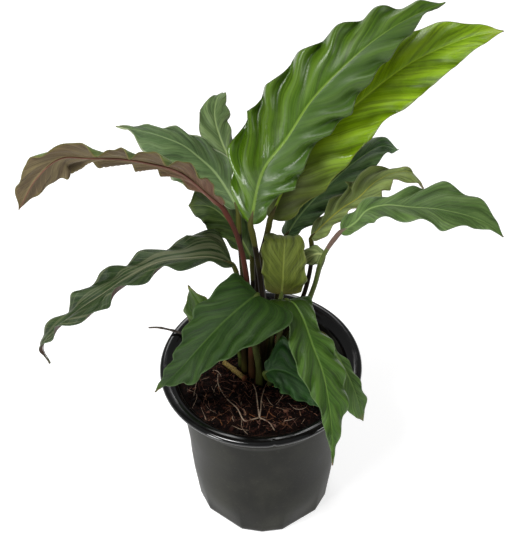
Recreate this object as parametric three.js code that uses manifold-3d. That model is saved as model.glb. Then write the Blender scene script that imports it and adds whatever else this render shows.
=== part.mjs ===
// A potted calathea: a moulded nursery pot, its soil, and seventeen wavy leaves on their stalks.
// Millimetres. +Z is up, the front of the plant faces -Y, and the origin is the centre of the
// pot's underside, on the surface that the pot stands on.

import * as THREE from 'three';
import { mergeVertices } from 'three/addons/utils/BufferGeometryUtils.js';
import Module from 'manifold-3d';

const wasm = await Module();
wasm.setup();
const { Manifold, Mesh } = wasm;

// ---------------------------------------------------------------- driving dimensions

// Pot
const POT_HEIGHT = 135;
const RIM_RADIUS = 70; // outermost point of the rolled rim
const RIM_DEPTH = 4.6; // height of the rolled rim
const WALL_TOP_RADIUS = 58.4;
const COLLAR_LEVEL = 115; // foot of the collar
const COLLAR_RADIUS = 59.6; // outside of the collar
const WALL_LINE = 126.5; // height where the wall would reach its top radius
const WALL_MID_RADIUS = 52.8;
const BASE_RADIUS = 48.5; // outside, at a corner of the faceted base
const WALL = 2.2;
const WALL_LEVELS = [8, 14, 21, 32, 64, 96]; // heights where the wall's slope changes
const SIDES = 40; // round the pot and the soil
const FLOOR = 3;
const FOOT_FLATS = [36, 18, 18]; // degrees that the flats round the foot span, five times over
const FOOT_TURN = 15; // degrees from the front to the first corner
const FOOT_HEIGHT = 30; // the flats fade out at this height
const DRAIN_HOLES = 6;
const DRAIN_RADIUS = 4;
const DRAIN_CIRCLE = 34;

// Soil
const SOIL_LEVEL = 122;
const SOIL_LUMP = 1; // height of the soft unevenness
const SOIL_MOUND = 2.4; // rise round the crown
const SOIL_RINGS = [1, 0.85, 0.68, 0.5, 0.3, 0.12]; // rings of points, as shares of its radius
const SEAT = 0.3; // gap between pieces that touch on the plant

// Leaves
const STALK_DEPTH = 24; // how far a stalk reaches into the soil
const BLADE_THICKNESS = 0.8;
const MIDRIB = 0.7; // extra thickness under the midrib
const NECK_WIDTH = 1.1; // half width at the blade's base
const TIP_WIDTH = 0.2; // half width at the very tip
const STATIONS = [0, 0.08, 0.2, 0.35, 0.5, 0.65, 0.8, 0.92, 1]; // where the widths are given
const VEIN_LEAN = 1.7; // how far a side vein runs towards the tip for each step outwards
const WAVE_START = 0.45; // phase of the first wave at the margin
const WAVE_RISE = 2.1; // how late the ruffles rise between the midrib and the margin
const ACROSS = [-1, -0.55, 0, 0.55, 1]; // rows of points, from the left margin to the right
const NUDGE_ALONG = 0.004; // small steps that measure the blade's slope
const NUDGE_ACROSS = 0.05;

// Loose things on the soil: [x, y, height of the centre above the soil]
const STUB = [[-26, 11, 2.6], [-18, 3, 2.4], [-11, -6, 2.3]];
const STUB_RADIUS = 1.9;
const TWIG = [[-36, 21, 125.6], [-44, 25, 128.5], [-51, 28, 134.5], [-58, 30, 136.6],
  [-65, 32, 137.5], [-72, 34, 137.4], [-79, 35, 136.4]];
const TWIG_RADIUS = 1.1;
const ROOTS = [
  [[-2, -38, 1.7], [-3, -26, 1.5], [-4, -16, 1.6], [-6, -10, 1.7]],
  [[-2, -38, 1.7], [-7, -40, 1.4], [-12, -41, 1.4], [-17, -31, 1.5], [-24, -22, 1.5],
    [-30, -7, 1.5], [-30, 2, 1.5]],
  [[-2, -38, 1.7], [-1, -30, 1.5], [0, -21, 1.6], [2, -14, 1.6]],
  [[-2, -38, 1.7], [2, -40, 1.4], [5, -43, 1.4], [8, -50, 1.4]],
];
const ROOT_RADIUS = 0.8;
const KNOT_RADIUS = 1.4;
const THINNING = 0.3; // share of its radius that a root or the twig loses along its length

const COLOURS = {
  pot: 0x2b2c2b,
  soil: 0x2a1a12,
  root: 0xb49a72,
  twig: 0x8a745a,
  green: 0x3f6b34,
  dark: 0x23472c,
  lime: 0x86a62c,
  grey: 0x56705a,
  mauve: 0x6b4a45,
  olive: 0x7c8550,
  young: 0x8f9f63,
  stalk: 0x4a2620,
  stalkGreen: 0x6a7a3c,
};

// ---------------------------------------------------------------- the leaves

// The numbers of each leaf were fitted to its outline. stalk: points from just above the soil to
// the blade. spine: the midrib, from the blade's base to its tip. face: which way the upper side
// looks at the base, the middle and the tip. left and right: half widths at the stations along the
// blade, seen from above with the tip ahead. fold: how far each half lifts, in degrees. curl: how
// far the margins bend back down, in degrees. lobe: how far they swing in and out, as a share of
// the half width. wave: height of their waves. waves: their number. turn: their phase. stagger: how
// much of a wave the right half is ahead of the left.
const LEAVES = {
  tall_front: {
    stalk: [[1, -1, 140], [2, 6, 200], [-1, 11, 234], [-4, 14, 256]],
    spine: [[-4.2, 14.1, 257], [4.8, 20.4, 297.9], [19.2, 25.1, 318.6], [35.4, 34.2, 341.9],
      [53.7, 43.4, 358.3], [75.1, 55.1, 370.9], [95.7, 66.8, 376.8], [119, 81, 377.2]],
    face: [[-0.46, -0.88, 0.21], [-0.03, -0.58, 0.47], [-0.3, -0.48, 0.93]],
    left: [18.6, 27.5, 30.2, 26.3, 22.7, 18.2, 9.3], right: [9.6, 23.9, 18.1, 24.7, 17.4, 11.5, 2.6],
    fold: 5, curl: 22, lobe: 0.06, wave: 6.7, waves: 8.3, turn: -0.12, stagger: 0.19,
    steps: 40, radius: [2.5, 1.7], colour: 'green', stem: 'stalk',
  },
  tall_lime: {
    stalk: [[4, 11, 140], [3, 17, 180], [2, 25, 213], [6, 29, 231], [9, 30, 245]],
    spine: [[8.9, 30.1, 246.1], [21.5, 36.1, 275.3], [39.9, 44.4, 301.6], [65.1, 56.3, 319.4],
      [98.5, 72.8, 336.6], [136.2, 88, 343.8], [160.5, 97.6, 341]],
    face: [[-0.41, -0.74, 0.48], [-0.29, -0.62, 0.7], [0.14, -0.71, 0.7]],
    left: [14.4, 21.2, 23.9, 23.4, 21, 16.3, 7.4], right: [15.2, 23.9, 25, 20, 21.4, 15, 6.7],
    fold: 5, curl: 18, lobe: 0.02, wave: 4, waves: 7.1, turn: 0.74, stagger: 0.38,
    steps: 40, radius: [2.5, 1.7], colour: 'lime', stem: 'stalk',
  },
  left_broad: {
    stalk: [[-7, 7, 140], [-9, 11.4, 178.5], [-11, 17.7, 225.1], [-12, 27.1, 256.6]],
    spine: [[-12, 28.1, 257.6], [-18.9, 34.3, 269.6], [-26.7, 39.6, 280.7], [-35.6, 43.8, 288.7],
      [-44.9, 46.9, 296.3], [-55.9, 49.5, 301], [-68.8, 52.7, 304], [-88, 57.3, 305.3]],
    face: [[-0.5, -0.5, 0.7], [-0.21, -0.19, 0.95], [0.01, -0.23, 0.97]],
    left: [12, 17.9, 20.9, 20.9, 18, 10.9, 0.8], right: [8.5, 12.7, 14.9, 15.5, 14.7, 7.8, 4.4],
    fold: -6, curl: 20, lobe: 0.04, wave: 3.1, waves: 5.8, turn: -0.38, stagger: 0.33,
    steps: 26, radius: [2.2, 1.5], colour: 'grey', stem: 'stalk',
  },
  back_left: {
    stalk: [[-1, 19, 140], [-1, 28, 187], [-4, 38.5, 233], [-9, 43, 260]],
    spine: [[-9, 43, 261], [-16.5, 54.9, 275.9], [-22.8, 68, 285.9], [-25.6, 80.2, 293.1],
      [-23.7, 92.4, 296.4], [-20.9, 99.6, 294.9], [-19.3, 106.7, 288.1]],
    face: [[0.11, -0.75, 0.6], [0.23, -0.46, 0.84], [0.03, 0.49, 0.85]],
    left: [6.7, 9.8, 10.9, 10.9, 10.3, 3.5, 0.9], right: [9.2, 11.6, 9.1, 8.6, 10.4, 5.9, 1.9],
    fold: 7, curl: 17, lobe: 0.06, wave: 2.4, waves: 5.3, turn: 0.57, stagger: 0.41,
    steps: 24, radius: [2.2, 1.5], colour: 'grey', stem: 'stalk',
  },
  left_behind: {
    stalk: [[-8, 14, 140], [-4, 20.5, 188.4], [-4, 25, 212.8]],
    spine: [[-4, 25, 213.8], [-10.4, 30.2, 227], [-19, 35.4, 240.2], [-30.5, 40, 248.7],
      [-44.5, 42.2, 248.4]],
    face: [[-0.3, -0.7, 0.6], [-0.3, -0.5, 0.8], [-0.31, -0.52, 0.83]],
    left: [5.3, 8.2, 10.3, 11.9, 13.2, 11.1, 7.8], right: [5.3, 8.2, 9.9, 10.8, 11.6, 12, 11.7],
    fold: 6, curl: 11, lobe: 0.05, wave: 2.2, waves: 4.9, turn: 0.51, stagger: 0.42,
    steps: 20, radius: [2.2, 1.4], colour: 'dark', stem: 'stalk',
  },
  right_low: {
    stalk: [[15, 0, 136], [24, 6, 150], [34, 7, 158], [43, 5, 159]],
    spine: [[44, 4, 159], [50.5, -6.2, 152.7], [57.4, -18.3, 146.7], [63.2, -31.5, 139.6],
      [68.3, -42.6, 122.4]],
    face: [[0.31, -0.19, 0.9], [0.4, -0.21, 0.9], [0.66, -0.54, 0.51]],
    left: [2.5, 2.3, 5.9, 6.7, 7.3, 8.2, 4.1], right: [5.5, 8.2, 9.7, 10.3, 10.8, 10.7, 5.5],
    fold: 6, curl: 10, lobe: 0.05, wave: 1.3, waves: 4.3, turn: 0.14, stagger: 0.4,
    steps: 20, radius: [2, 1.3], colour: 'green', stem: 'stalk',
  },
  right_long: {
    stalk: [[15, 6, 138], [34, 13, 187], [38, 15, 200], [41, 16, 217], [47, 16, 234],
      [53.4, 16, 245.4]],
    spine: [[54, 16, 246], [62.9, 14.5, 255.3], [70.6, 14.2, 266.7], [81.5, 11.5, 273.1],
      [95.5, 6.2, 276.1], [114.2, 2, 277.3], [132.4, -3.2, 275.7], [144.7, -7.5, 271.7],
      [153.3, -11.5, 264.8]],
    face: [[-0.35, -0.26, 0.86], [-0.11, 0.12, 0.96], [0.2, -0.34, 0.91]],
    left: [9.3, 7.4, 9.7, 21.6, 22.3, 14.4, 6.1], right: [5.7, 10.3, 13.7, 13.4, 17.5, 8.8, 2.7],
    fold: 10, curl: 7, lobe: 0.06, wave: 2.6, waves: 4.9, turn: 0.57, stagger: 0.4,
    steps: 30, radius: [2.2, 1.4], colour: 'green', stem: 'stalkGreen',
  },
  right_behind: {
    stalk: [[8, 17, 140], [13, 30.2, 176.6], [18.4, 44, 213.4]],
    spine: [[19, 44.5, 214.3], [31, 56.5, 225.3], [50, 67.5, 240.3], [69, 76.5, 253.3],
      [84.9, 84.7, 257.4], [97.6, 89.9, 248.8]],
    face: [[-0.5, -0.2, 0.8], [-0.2, -0.11, 0.95], [0.35, -0.04, 0.87]],
    left: [8.9, 13.3, 15.6, 15.8, 14.4, 11.5, 7.9], right: [8.9, 13.4, 15.8, 16, 14, 8.6, 4.8],
    fold: 6, curl: 11, lobe: 0.05, wave: 2.8, waves: 5.2, turn: 0.85, stagger: 0.46,
    steps: 24, radius: [2.2, 1.4], colour: 'dark', stem: 'stalk',
  },
  right_olive: {
    stalk: [[14, 13, 138], [31, 24, 180], [36, 30, 206], [36, 32, 224.2]],
    spine: [[35.8, 32.3, 225.3], [45.4, 34.8, 236], [56.4, 38.4, 245.3], [66.4, 40, 252.4],
      [78.2, 48.2, 258.9], [89.6, 50.2, 264.1], [100.6, 48, 267], [109.6, 45.9, 254.2]],
    face: [[-0.53, 0, 0.83], [-0.07, 0.15, 0.93], [0.31, 0.07, 0.9]],
    left: [8.2, 10.6, 16.9, 16.6, 11.5, 2.3, 2.6], right: [9.1, 10.5, 9.7, 14.1, 12, 11.3, 5.9],
    fold: 13, curl: 13, lobe: 0.05, wave: 3.3, waves: 5.5, turn: 0.26, stagger: 0.33,
    steps: 24, radius: [2, 1.4], colour: 'olive', stem: 'stalk',
  },
  left_arch: {
    stalk: [[-6, -1, 140], [-8, 1, 224], [-13, 0, 262], [-21, -3, 290]],
    spine: [[-22, -3, 291], [-31.5, -4.3, 305.8], [-45.5, -7.2, 324.9], [-62.5, -10.9, 335.9],
      [-79.9, -13.2, 342.3], [-96.5, -19.3, 348.8], [-112.3, -21.8, 351.4], [-127.7, -24.1, 338.4],
      [-140.7, -27.7, 316.6]],
    face: [[0.42, 0.82, 0.37], [0.12, 0.78, 0.56], [-0.41, 0.94, -0.16]],
    left: [8.2, 12.6, 15.2, 15.3, 13.3, 11.3, 7.5], right: [6.6, 15, 18.6, 20.3, 20.2, 15.5, 6.5],
    fold: 7, curl: 6, lobe: 0.02, wave: 3, waves: 7.7, turn: -0.5, stagger: 0.73,
    steps: 36, radius: [2.4, 1.5], colour: 'mauve', stem: 'stalk',
  },
  front_left: {
    stalk: [[-1, -8, 140], [-4, -6, 165], [-3, -5, 195], [-1, -6, 212]],
    spine: [[-0.9, -6.8, 213.1], [-6.2, -13.1, 215.4], [-21.7, -22.4, 207.2], [-41.3, -28.6, 185.3],
      [-55.6, -29.6, 164.2], [-71.7, -28.6, 142.8]],
    face: [[-0.25, -0.54, 0.77], [-0.44, -0.54, 0.66], [-0.48, -0.73, 0.49]],
    left: [34.4, 29.5, 23.5, 17.6, 16.5, 6.9, 0.8], right: [20.7, 18.6, 19, 14.8, 9.8, 7.1, 3.2],
    fold: 15, curl: -3, lobe: 0.08, wave: 2.1, waves: 6.4, turn: 0.23, stagger: 0.24,
    steps: 30, radius: [2.6, 1.5], colour: 'dark', stem: 'stalkGreen',
  },
  front_right: {
    stalk: [[10, -3, 140], [14, 1.8, 169], [18.8, -2.2, 202]],
    spine: [[18, -2.9, 203], [22.7, -10.5, 207.4], [27.9, -20.8, 204.8], [33.9, -34.9, 193.2],
      [39.7, -47.3, 181.7], [43.1, -58.1, 167], [45, -67.8, 149.8], [45.5, -78.2, 122]],
    face: [[0.3, -0.05, 0.87], [0.17, -0.46, 0.79], [0.11, -0.95, 0.3]],
    left: [13.9, 7.2, 12.8, 13.3, 12, 5.5, 1.9], right: [18.2, 13, 16.6, 14.1, 7, 4.3, 0.8],
    fold: 12, curl: 7, lobe: 0.07, wave: 3.2, waves: 6.4, turn: 0.42, stagger: 0.15,
    steps: 30, radius: [2.4, 1.4], colour: 'green', stem: 'stalkGreen',
  },
  front_small: {
    stalk: [[6, -9, 128], [4, -12.4, 134.5], [2, -15.7, 143.9]],
    spine: [[2.8, -15.7, 144.9], [9.7, -17.5, 149.1], [17.5, -19.9, 149.2], [28.3, -24.8, 144.1],
      [39.3, -31.6, 136.3], [44.5, -38.5, 133]],
    face: [[-0.11, -0.56, 0.8], [0.01, -0.73, 0.66], [0.29, -0.71, 0.7]],
    left: [7.7, 22.4, 10.4, 9.4, 9.6, 6.8, 2.9], right: [8.8, 12.2, 13.9, 13.7, 11.8, 8.8, 6],
    fold: 10, curl: 10, lobe: 0.07, wave: 2, waves: 4.2, turn: 0.62, stagger: 0.31,
    steps: 20, radius: [2, 1.3], colour: 'green', stem: 'stalkGreen',
  },
  young_centre: {
    stalk: [[6, 4, 140], [9, 3, 166.1], [15, 3.9, 200.2]],
    spine: [[15, 3.9, 201.2], [16, 5.9, 216.2], [16.8, 10, 229.3], [17.7, 16, 237.3],
      [17.6, 23.1, 236.4], [17.8, 29.1, 228.2]],
    face: [[0, -0.95, 0.3], [0, -0.85, 0.5], [0.03, -0.2, 0.9]],
    left: [10.6, 12.7, 13.7, 14.3, 14.9, 12.6, 5.3], right: [13.3, 15.7, 14.9, 14.3, 13.5, 9.2, 3.6],
    fold: 8, curl: 8, lobe: 0.05, wave: 1.6, waves: 4.1, turn: 0.15, stagger: 0.34,
    steps: 20, radius: [1.9, 1.3], colour: 'young', stem: 'stalkGreen',
  },
  left_low: {
    stalk: [[-11, 3, 140], [-12, 6, 190], [-14, 8, 217], [-16, 8, 226]],
    spine: [[-17, 8.1, 227.1], [-29.9, 5.6, 236.5], [-43.8, 1.5, 240.6], [-62.9, 0, 239.4],
      [-84.1, -5.1, 231.6], [-100.8, -9.2, 220.9], [-118.3, -15.3, 211.7], [-133.1, -17.7, 197.6],
      [-144.1, -19.8, 182.8], [-140.5, -21.8, 167.9]],
    face: [[-0.16, 0.06, 0.91], [0.68, 0.23, 0.71], [-0.73, -0.04, 0.5]],
    left: [9.7, 12.3, 13.3, 17.5, 14.7, 5.6, 1.8], right: [25.5, 15.1, 10.8, 15.7, 11.2, 8, 6.7],
    fold: 15, curl: 3, lobe: 0.05, wave: 3.9, waves: 6.4, turn: 0.83, stagger: 0.59,
    steps: 36, radius: [2.2, 1.4], colour: 'dark', stem: 'stalk',
  },
  left_tip: {
    stalk: [[-14, 9, 132], [-15, 7, 142], [-16, 5, 149]],
    spine: [[-17, 5, 150], [-24, 5.1, 162.1], [-31, 6.2, 174.3], [-40.1, 8.4, 190.4],
      [-46.8, 10.7, 205.4]],
    face: [[-0.5, -0.6, 0.6], [-0.51, -0.53, 0.65], [-0.64, -0.44, 0.53]],
    left: [10.2, 15.5, 18.3, 18.8, 15.9, 8.3, 3], right: [5.1, 7.6, 8.9, 9.1, 9, 8, 4],
    fold: 9, curl: 9, lobe: 0.05, wave: 1.7, waves: 3.1, turn: 0.41, stagger: 0.33,
    steps: 16, radius: [1.8, 1.2], colour: 'green', stem: 'stalkGreen',
  },
  right_flap: {
    stalk: [[21, 9, 138], [35, 22, 176], [39, 24, 190], [42, 25, 205], [45, 26, 214]],
    spine: [[44, 26, 215], [39, 24, 218], [34, 22, 217], [29, 20, 213]],
    face: [[0.1, -0.5, 0.8], [0, -0.6, 0.8], [-0.3, -0.7, 0.6]],
    left: [3.8, 5.7, 6.8, 7, 6.2, 4.1, 1.6], right: [3.2, 4.9, 5.8, 6, 5.3, 3.5, 1.4],
    fold: 10, curl: 8, lobe: 0.05, wave: 1, waves: 3, turn: 0.2, stagger: 0.37,
    steps: 12, radius: [1.6, 1.1], colour: 'grey', stem: 'stalkGreen',
  },
};

// ---------------------------------------------------------------- helpers

const vec = ([x, y, z]) => new THREE.Vector3(x, y, z);
const radians = THREE.MathUtils.degToRad;
const smooth = (t) => t * t * (3 - 2 * t);

function geometryOf(positions, triangles) {
  const geometry = new THREE.BufferGeometry();
  geometry.setAttribute('position', new THREE.Float32BufferAttribute(positions, 3));
  geometry.setIndex(triangles);
  return geometry;
}

// Shares the vertices of a closed shape and drops the faces that collapse on its axis.
function sealed(geometry) {
  geometry.deleteAttribute('normal');
  geometry.deleteAttribute('uv');
  const merged = mergeVertices(geometry, 1e-3);
  const index = merged.index.array;
  const kept = [];
  for (let i = 0; i < index.length; i += 3) {
    const [a, b, c] = index.slice(i, i + 3);
    if (a !== b && b !== c && c !== a) kept.push(a, b, c);
  }
  merged.setIndex(kept);
  return merged;
}

function solidOf(geometry) {
  const vertProperties = new Float32Array(geometry.attributes.position.array);
  const triVerts = new Uint32Array(geometry.index.array);
  return new Manifold(new Mesh({ numProp: 3, vertProperties, triVerts }));
}

function geometryFrom(solid) {
  const mesh = solid.getMesh();
  const positions = [];
  for (let i = 0; i < mesh.numVert; i += 1) {
    for (let k = 0; k < 3; k += 1) {
      positions.push(mesh.vertProperties[i * mesh.numProp + k]);
    }
  }
  return geometryOf(positions, Array.from(mesh.triVerts));
}

// A round bar along a smooth curve, closed at both ends, with its own radius at each step.
function tube(points, radiusAt, steps, sides) {
  const curve = new THREE.CatmullRomCurve3(points.map(vec), false, 'centripetal');
  const positions = [];
  const triangles = [];
  let across = new THREE.Vector3(1, 0, 0);
  for (let i = 0; i <= steps; i += 1) {
    const t = i / steps;
    const centre = curve.getPointAt(t);
    const along = curve.getTangentAt(t);
    across = across.clone().addScaledVector(along, -across.dot(along)).normalize();
    const other = along.clone().cross(across);
    for (let k = 0; k < sides; k += 1) {
      const turn = (2 * Math.PI * k) / sides;
      const p = centre.clone()
        .addScaledVector(across, Math.cos(turn) * radiusAt(t))
        .addScaledVector(other, Math.sin(turn) * radiusAt(t));
      positions.push(p.x, p.y, p.z);
    }
  }
  for (let i = 0; i < steps; i += 1) {
    for (let k = 0; k < sides; k += 1) {
      const a = i * sides + k;
      const b = i * sides + ((k + 1) % sides);
      triangles.push(a, b, b + sides, a, b + sides, a + sides);
    }
  }
  const last = steps * sides;
  for (let k = 1; k < sides - 1; k += 1) {
    triangles.push(0, k + 1, k);
    triangles.push(last, last + k, last + k + 1);
  }
  return geometryOf(positions, triangles);
}

// ---------------------------------------------------------------- pot and soil

function wallRadius(z) {
  const top = WALL_LINE;
  const middle = top / 2;
  if (z > middle) {
    return THREE.MathUtils.mapLinear(z, middle, top, WALL_MID_RADIUS, WALL_TOP_RADIUS);
  }
  const t = z / middle;
  return BASE_RADIUS + (WALL_MID_RADIUS - BASE_RADIUS) * Math.sin((t * Math.PI) / 2);
}

// How far out the foot's outline lies, as a share of its corners, at an angle from the first one.
function footShare(angle) {
  const round = FOOT_FLATS.reduce((sum, flat) => sum + flat, 0);
  let past = THREE.MathUtils.euclideanModulo(THREE.MathUtils.radToDeg(angle), round);
  for (const flat of FOOT_FLATS) {
    if (past <= flat) return Math.cos(radians(flat / 2)) / Math.cos(radians(past - flat / 2));
    past -= flat;
  }
  return 1;
}

// Presses the flats into the foot of a turned shape.
function facetFoot(geometry) {
  const position = geometry.attributes.position;
  for (let i = 0; i < position.count; i += 1) {
    const x = position.getX(i);
    const y = position.getY(i);
    const z = position.getZ(i);
    const amount = 1 - smooth(Math.min(1, Math.max(0, z / FOOT_HEIGHT)));
    const scale = 1 + amount * (footShare(Math.atan2(x, -y) - radians(FOOT_TURN)) - 1);
    position.setXYZ(i, x * scale, y * scale, z);
  }
  return geometry;
}

// Turns a profile of [radius, height] points that starts and ends on the axis.
function turned(profile) {
  const points = profile.map(([radius, z]) => new THREE.Vector2(radius, z));
  const lathe = new THREE.LatheGeometry(points, SIDES, radians(FOOT_TURN));
  return sealed(lathe.rotateX(Math.PI / 2));
}

function makePot() {
  const under = POT_HEIGHT - RIM_DEPTH;
  const outside = [0, ...WALL_LEVELS].map((z) => [wallRadius(z), z]);
  const inside = [FLOOR, ...WALL_LEVELS].reverse().map((z) => [wallRadius(z) - WALL, z]);
  const profile = [
    [0, 0],
    ...outside,
    [wallRadius(COLLAR_LEVEL), COLLAR_LEVEL],
    [COLLAR_RADIUS, COLLAR_LEVEL + 1.5],
    [COLLAR_RADIUS + 0.6, under - 1.6],
    [RIM_RADIUS - 6, under + 0.1],
    [RIM_RADIUS - 2.2, under], // rolled rim, from below
    [RIM_RADIUS - 0.6, under + 0.9],
    [RIM_RADIUS, under + 2.5],
    [RIM_RADIUS - 0.8, under + 4],
    [RIM_RADIUS - 2.4, POT_HEIGHT],
    [RIM_RADIUS - 6, under + 4.2],
    [RIM_RADIUS - 9.2, under + 2],
    [COLLAR_RADIUS - WALL + 0.6, under - 3],
    [COLLAR_RADIUS - WALL, COLLAR_LEVEL + 1.5],
    [wallRadius(COLLAR_LEVEL) - WALL, COLLAR_LEVEL],
    ...inside,
    [0, FLOOR],
  ];
  let pot = solidOf(facetFoot(turned(profile)));
  for (let i = 0; i < DRAIN_HOLES; i += 1) {
    const turn = ((i + 0.5) * 2 * Math.PI) / DRAIN_HOLES;
    const hole = new THREE.CylinderGeometry(DRAIN_RADIUS, DRAIN_RADIUS, 3 * FLOOR, 12)
      .rotateX(Math.PI / 2)
      .translate(Math.cos(turn) * DRAIN_CIRCLE, Math.sin(turn) * DRAIN_CIRCLE, FLOOR / 2);
    pot = pot.subtract(solidOf(sealed(hole)));
  }
  return geometryFrom(pot);
}

function soilHeight(x, y) {
  const soft = Math.sin(x * 0.13 + 1) * Math.cos(y * 0.11) + 0.6 * Math.sin((x + y) * 0.23);
  const mound = Math.exp(-(x * x + y * y) / 400);
  return SOIL_LEVEL + SOIL_LUMP * soft + SOIL_MOUND * mound;
}

function makeSoil(holes) {
  const bottom = FLOOR + SEAT;
  const edge = COLLAR_RADIUS - WALL - SEAT - 0.1;
  const profile = [
    [0, bottom],
    ...[bottom, ...WALL_LEVELS, COLLAR_LEVEL].map((z) => [wallRadius(z) - WALL - SEAT - 0.1, z]),
    ...SOIL_RINGS.map((share) => [edge * share, SOIL_LEVEL]),
    [0, SOIL_LEVEL],
  ];
  const geometry = facetFoot(turned(profile));
  const position = geometry.attributes.position;
  for (let i = 0; i < position.count; i += 1) {
    if (position.getZ(i) < SOIL_LEVEL) continue;
    position.setZ(i, soilHeight(position.getX(i), position.getY(i)));
  }
  let soil = solidOf(geometry);
  for (const hole of holes) {
    soil = soil.subtract(solidOf(hole));
  }
  return geometryFrom(soil);
}

function onSoil(points) {
  return points.map(([x, y, above]) => [x, y, soilHeight(x, y) + above]);
}

// Roots that leave one knot and spread over the soil, as one solid.
function makeRoots() {
  const knot = new THREE.SphereGeometry(KNOT_RADIUS, 8, 6);
  let roots = solidOf(sealed(knot.translate(...onSoil([ROOTS[0][0]])[0])));
  for (const points of ROOTS) {
    const root = tube(onSoil(points), (t) => ROOT_RADIUS * (1 - THINNING * t), 9, 5);
    roots = roots.add(solidOf(root));
  }
  return geometryFrom(roots);
}

// ---------------------------------------------------------------- blades and stalks

function mixFace(face, t) {
  const from = vec(t < 0.5 ? face[0] : face[1]);
  const to = vec(t < 0.5 ? face[1] : face[2]);
  return from.lerp(to, smooth(t < 0.5 ? 2 * t : 2 * t - 1));
}

// The half width at t along the midrib: full at the base, and eased from station to station.
function halfWidth(leaf, t, side) {
  const widths = [NECK_WIDTH, ...(side > 0 ? leaf.right : leaf.left), TIP_WIDTH];
  const k = Math.max(0, Math.min(widths.length - 2, STATIONS.findIndex((at) => at >= t) - 1));
  const u = (t - STATIONS[k]) / (STATIONS[k + 1] - STATIONS[k]);
  const share = k === 0 ? Math.sqrt(u * (2 - u)) : (u + smooth(u)) / 2;
  return widths[k] + (widths[k + 1] - widths[k]) * share;
}

// The point of the leaf's middle surface at t along the midrib and s across, from -1 to 1. The
// waves run along the side veins, which leave the midrib on their way to the tip.
function bladePoint(leaf, curve, t, s) {
  const a = Math.abs(s);
  const side = Math.sign(s);
  const along = curve.getTangentAt(t);
  const face = mixFace(leaf.face, t);
  face.addScaledVector(along, -face.dot(along)).normalize();
  const right = along.clone().cross(face);
  const ends = Math.sin(Math.PI * Math.min(0.98, Math.max(0.02, t))) ** 0.6;
  const half = halfWidth(leaf, t, side);
  const stagger = side > 0 ? leaf.stagger : 0;
  const margin = 2 * Math.PI * (leaf.waves * t - WAVE_START + leaf.turn + stagger);
  const inward = (2 * Math.PI * leaf.waves * VEIN_LEAN * half * (1 - a)) / curve.getLength();
  const width = half * (1 + leaf.lobe * ends * Math.sin(margin + 1.3));
  const lift = radians(leaf.fold - leaf.curl * a);
  const wave = leaf.wave * a ** WAVE_RISE * ends * Math.sin(margin + inward);
  return curve.getPointAt(t)
    .addScaledVector(right, side * a * width * Math.cos(lift))
    .addScaledVector(face, a * width * Math.sin(lift) + wave);
}

function makeBlade(leaf) {
  const curve = new THREE.CatmullRomCurve3(leaf.spine.map(vec), false, 'centripetal');
  const positions = [];
  const triangles = [];
  for (const under of [0, 1]) {
    for (let i = 0; i <= leaf.steps; i += 1) {
      for (const s of ACROSS) {
        const t = i / leaf.steps;
        const p = bladePoint(leaf, curve, t, s);
        const ahead = bladePoint(leaf, curve, Math.min(1, t + NUDGE_ALONG), s);
        const behind = bladePoint(leaf, curve, Math.max(0, t - NUDGE_ALONG), s);
        const left = bladePoint(leaf, curve, t, Math.max(-1, s - NUDGE_ACROSS));
        const right = bladePoint(leaf, curve, t, Math.min(1, s + NUDGE_ACROSS));
        const normal = right.sub(left).cross(ahead.sub(behind)).normalize();
        const depth = BLADE_THICKNESS / 2 + (under && s === 0 ? MIDRIB : 0);
        p.addScaledVector(normal, under ? -depth : depth);
        positions.push(p.x, p.y, p.z);
      }
    }
  }
  const n = ACROSS.length;
  const below = (leaf.steps + 1) * n;
  for (let i = 0; i < leaf.steps; i += 1) {
    for (let k = 0; k < n - 1; k += 1) {
      const a = i * n + k;
      triangles.push(a, a + 1, a + n + 1, a, a + n + 1, a + n);
      triangles.push(below + a, below + a + n + 1, below + a + 1);
      triangles.push(below + a, below + a + n, below + a + n + 1);
    }
    const left = i * n;
    const right = i * n + n - 1;
    triangles.push(left, left + n, below + left + n, left, below + left + n, below + left);
    triangles.push(right, below + right + n, right + n, right, below + right, below + right + n);
  }
  const tip = leaf.steps * n;
  for (let k = 0; k < n - 1; k += 1) {
    triangles.push(k, below + k, below + k + 1, k, below + k + 1, k + 1);
    const a = tip + k;
    triangles.push(a, a + 1, below + a + 1, a, below + a + 1, below + a);
  }
  return geometryOf(positions, triangles);
}

function stalkPath(leaf) {
  const [x, y] = leaf.stalk[0];
  return [[x, y, SOIL_LEVEL - STALK_DEPTH], [x, y, SOIL_LEVEL - 4], ...leaf.stalk];
}

function stalkSolid(leaf, grow) {
  const [foot, neck] = leaf.radius;
  return tube(stalkPath(leaf), (t) => foot + (neck - foot) * t + grow, 11, 6);
}

// ---------------------------------------------------------------- the whole plant

const root = new THREE.Group();
root.name = 'potted_calathea';

function add(name, geometry, colour, roughness = 0.6) {
  const material = new THREE.MeshStandardMaterial({ color: COLOURS[colour], roughness });
  const mesh = new THREE.Mesh(geometry, material);
  mesh.name = name;
  root.add(mesh);
}

add('pot', makePot(), 'pot', 0.4);
add('soil', makeSoil(Object.values(LEAVES).map((leaf) => stalkSolid(leaf, SEAT))), 'soil', 1);
add('roots', makeRoots(), 'root', 0.9);
add('cut_stub', tube(onSoil(STUB), () => STUB_RADIUS, 8, 8), 'stalkGreen');
add('twig', tube(TWIG, (t) => TWIG_RADIUS * (1 - THINNING * t), 12, 6), 'twig', 0.9);
for (const [name, leaf] of Object.entries(LEAVES)) {
  add(`stalk_${name}`, stalkSolid(leaf, 0), leaf.stem);
  add(`blade_${name}`, makeBlade(leaf), leaf.colour, 0.45);
}

export default root;
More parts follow.
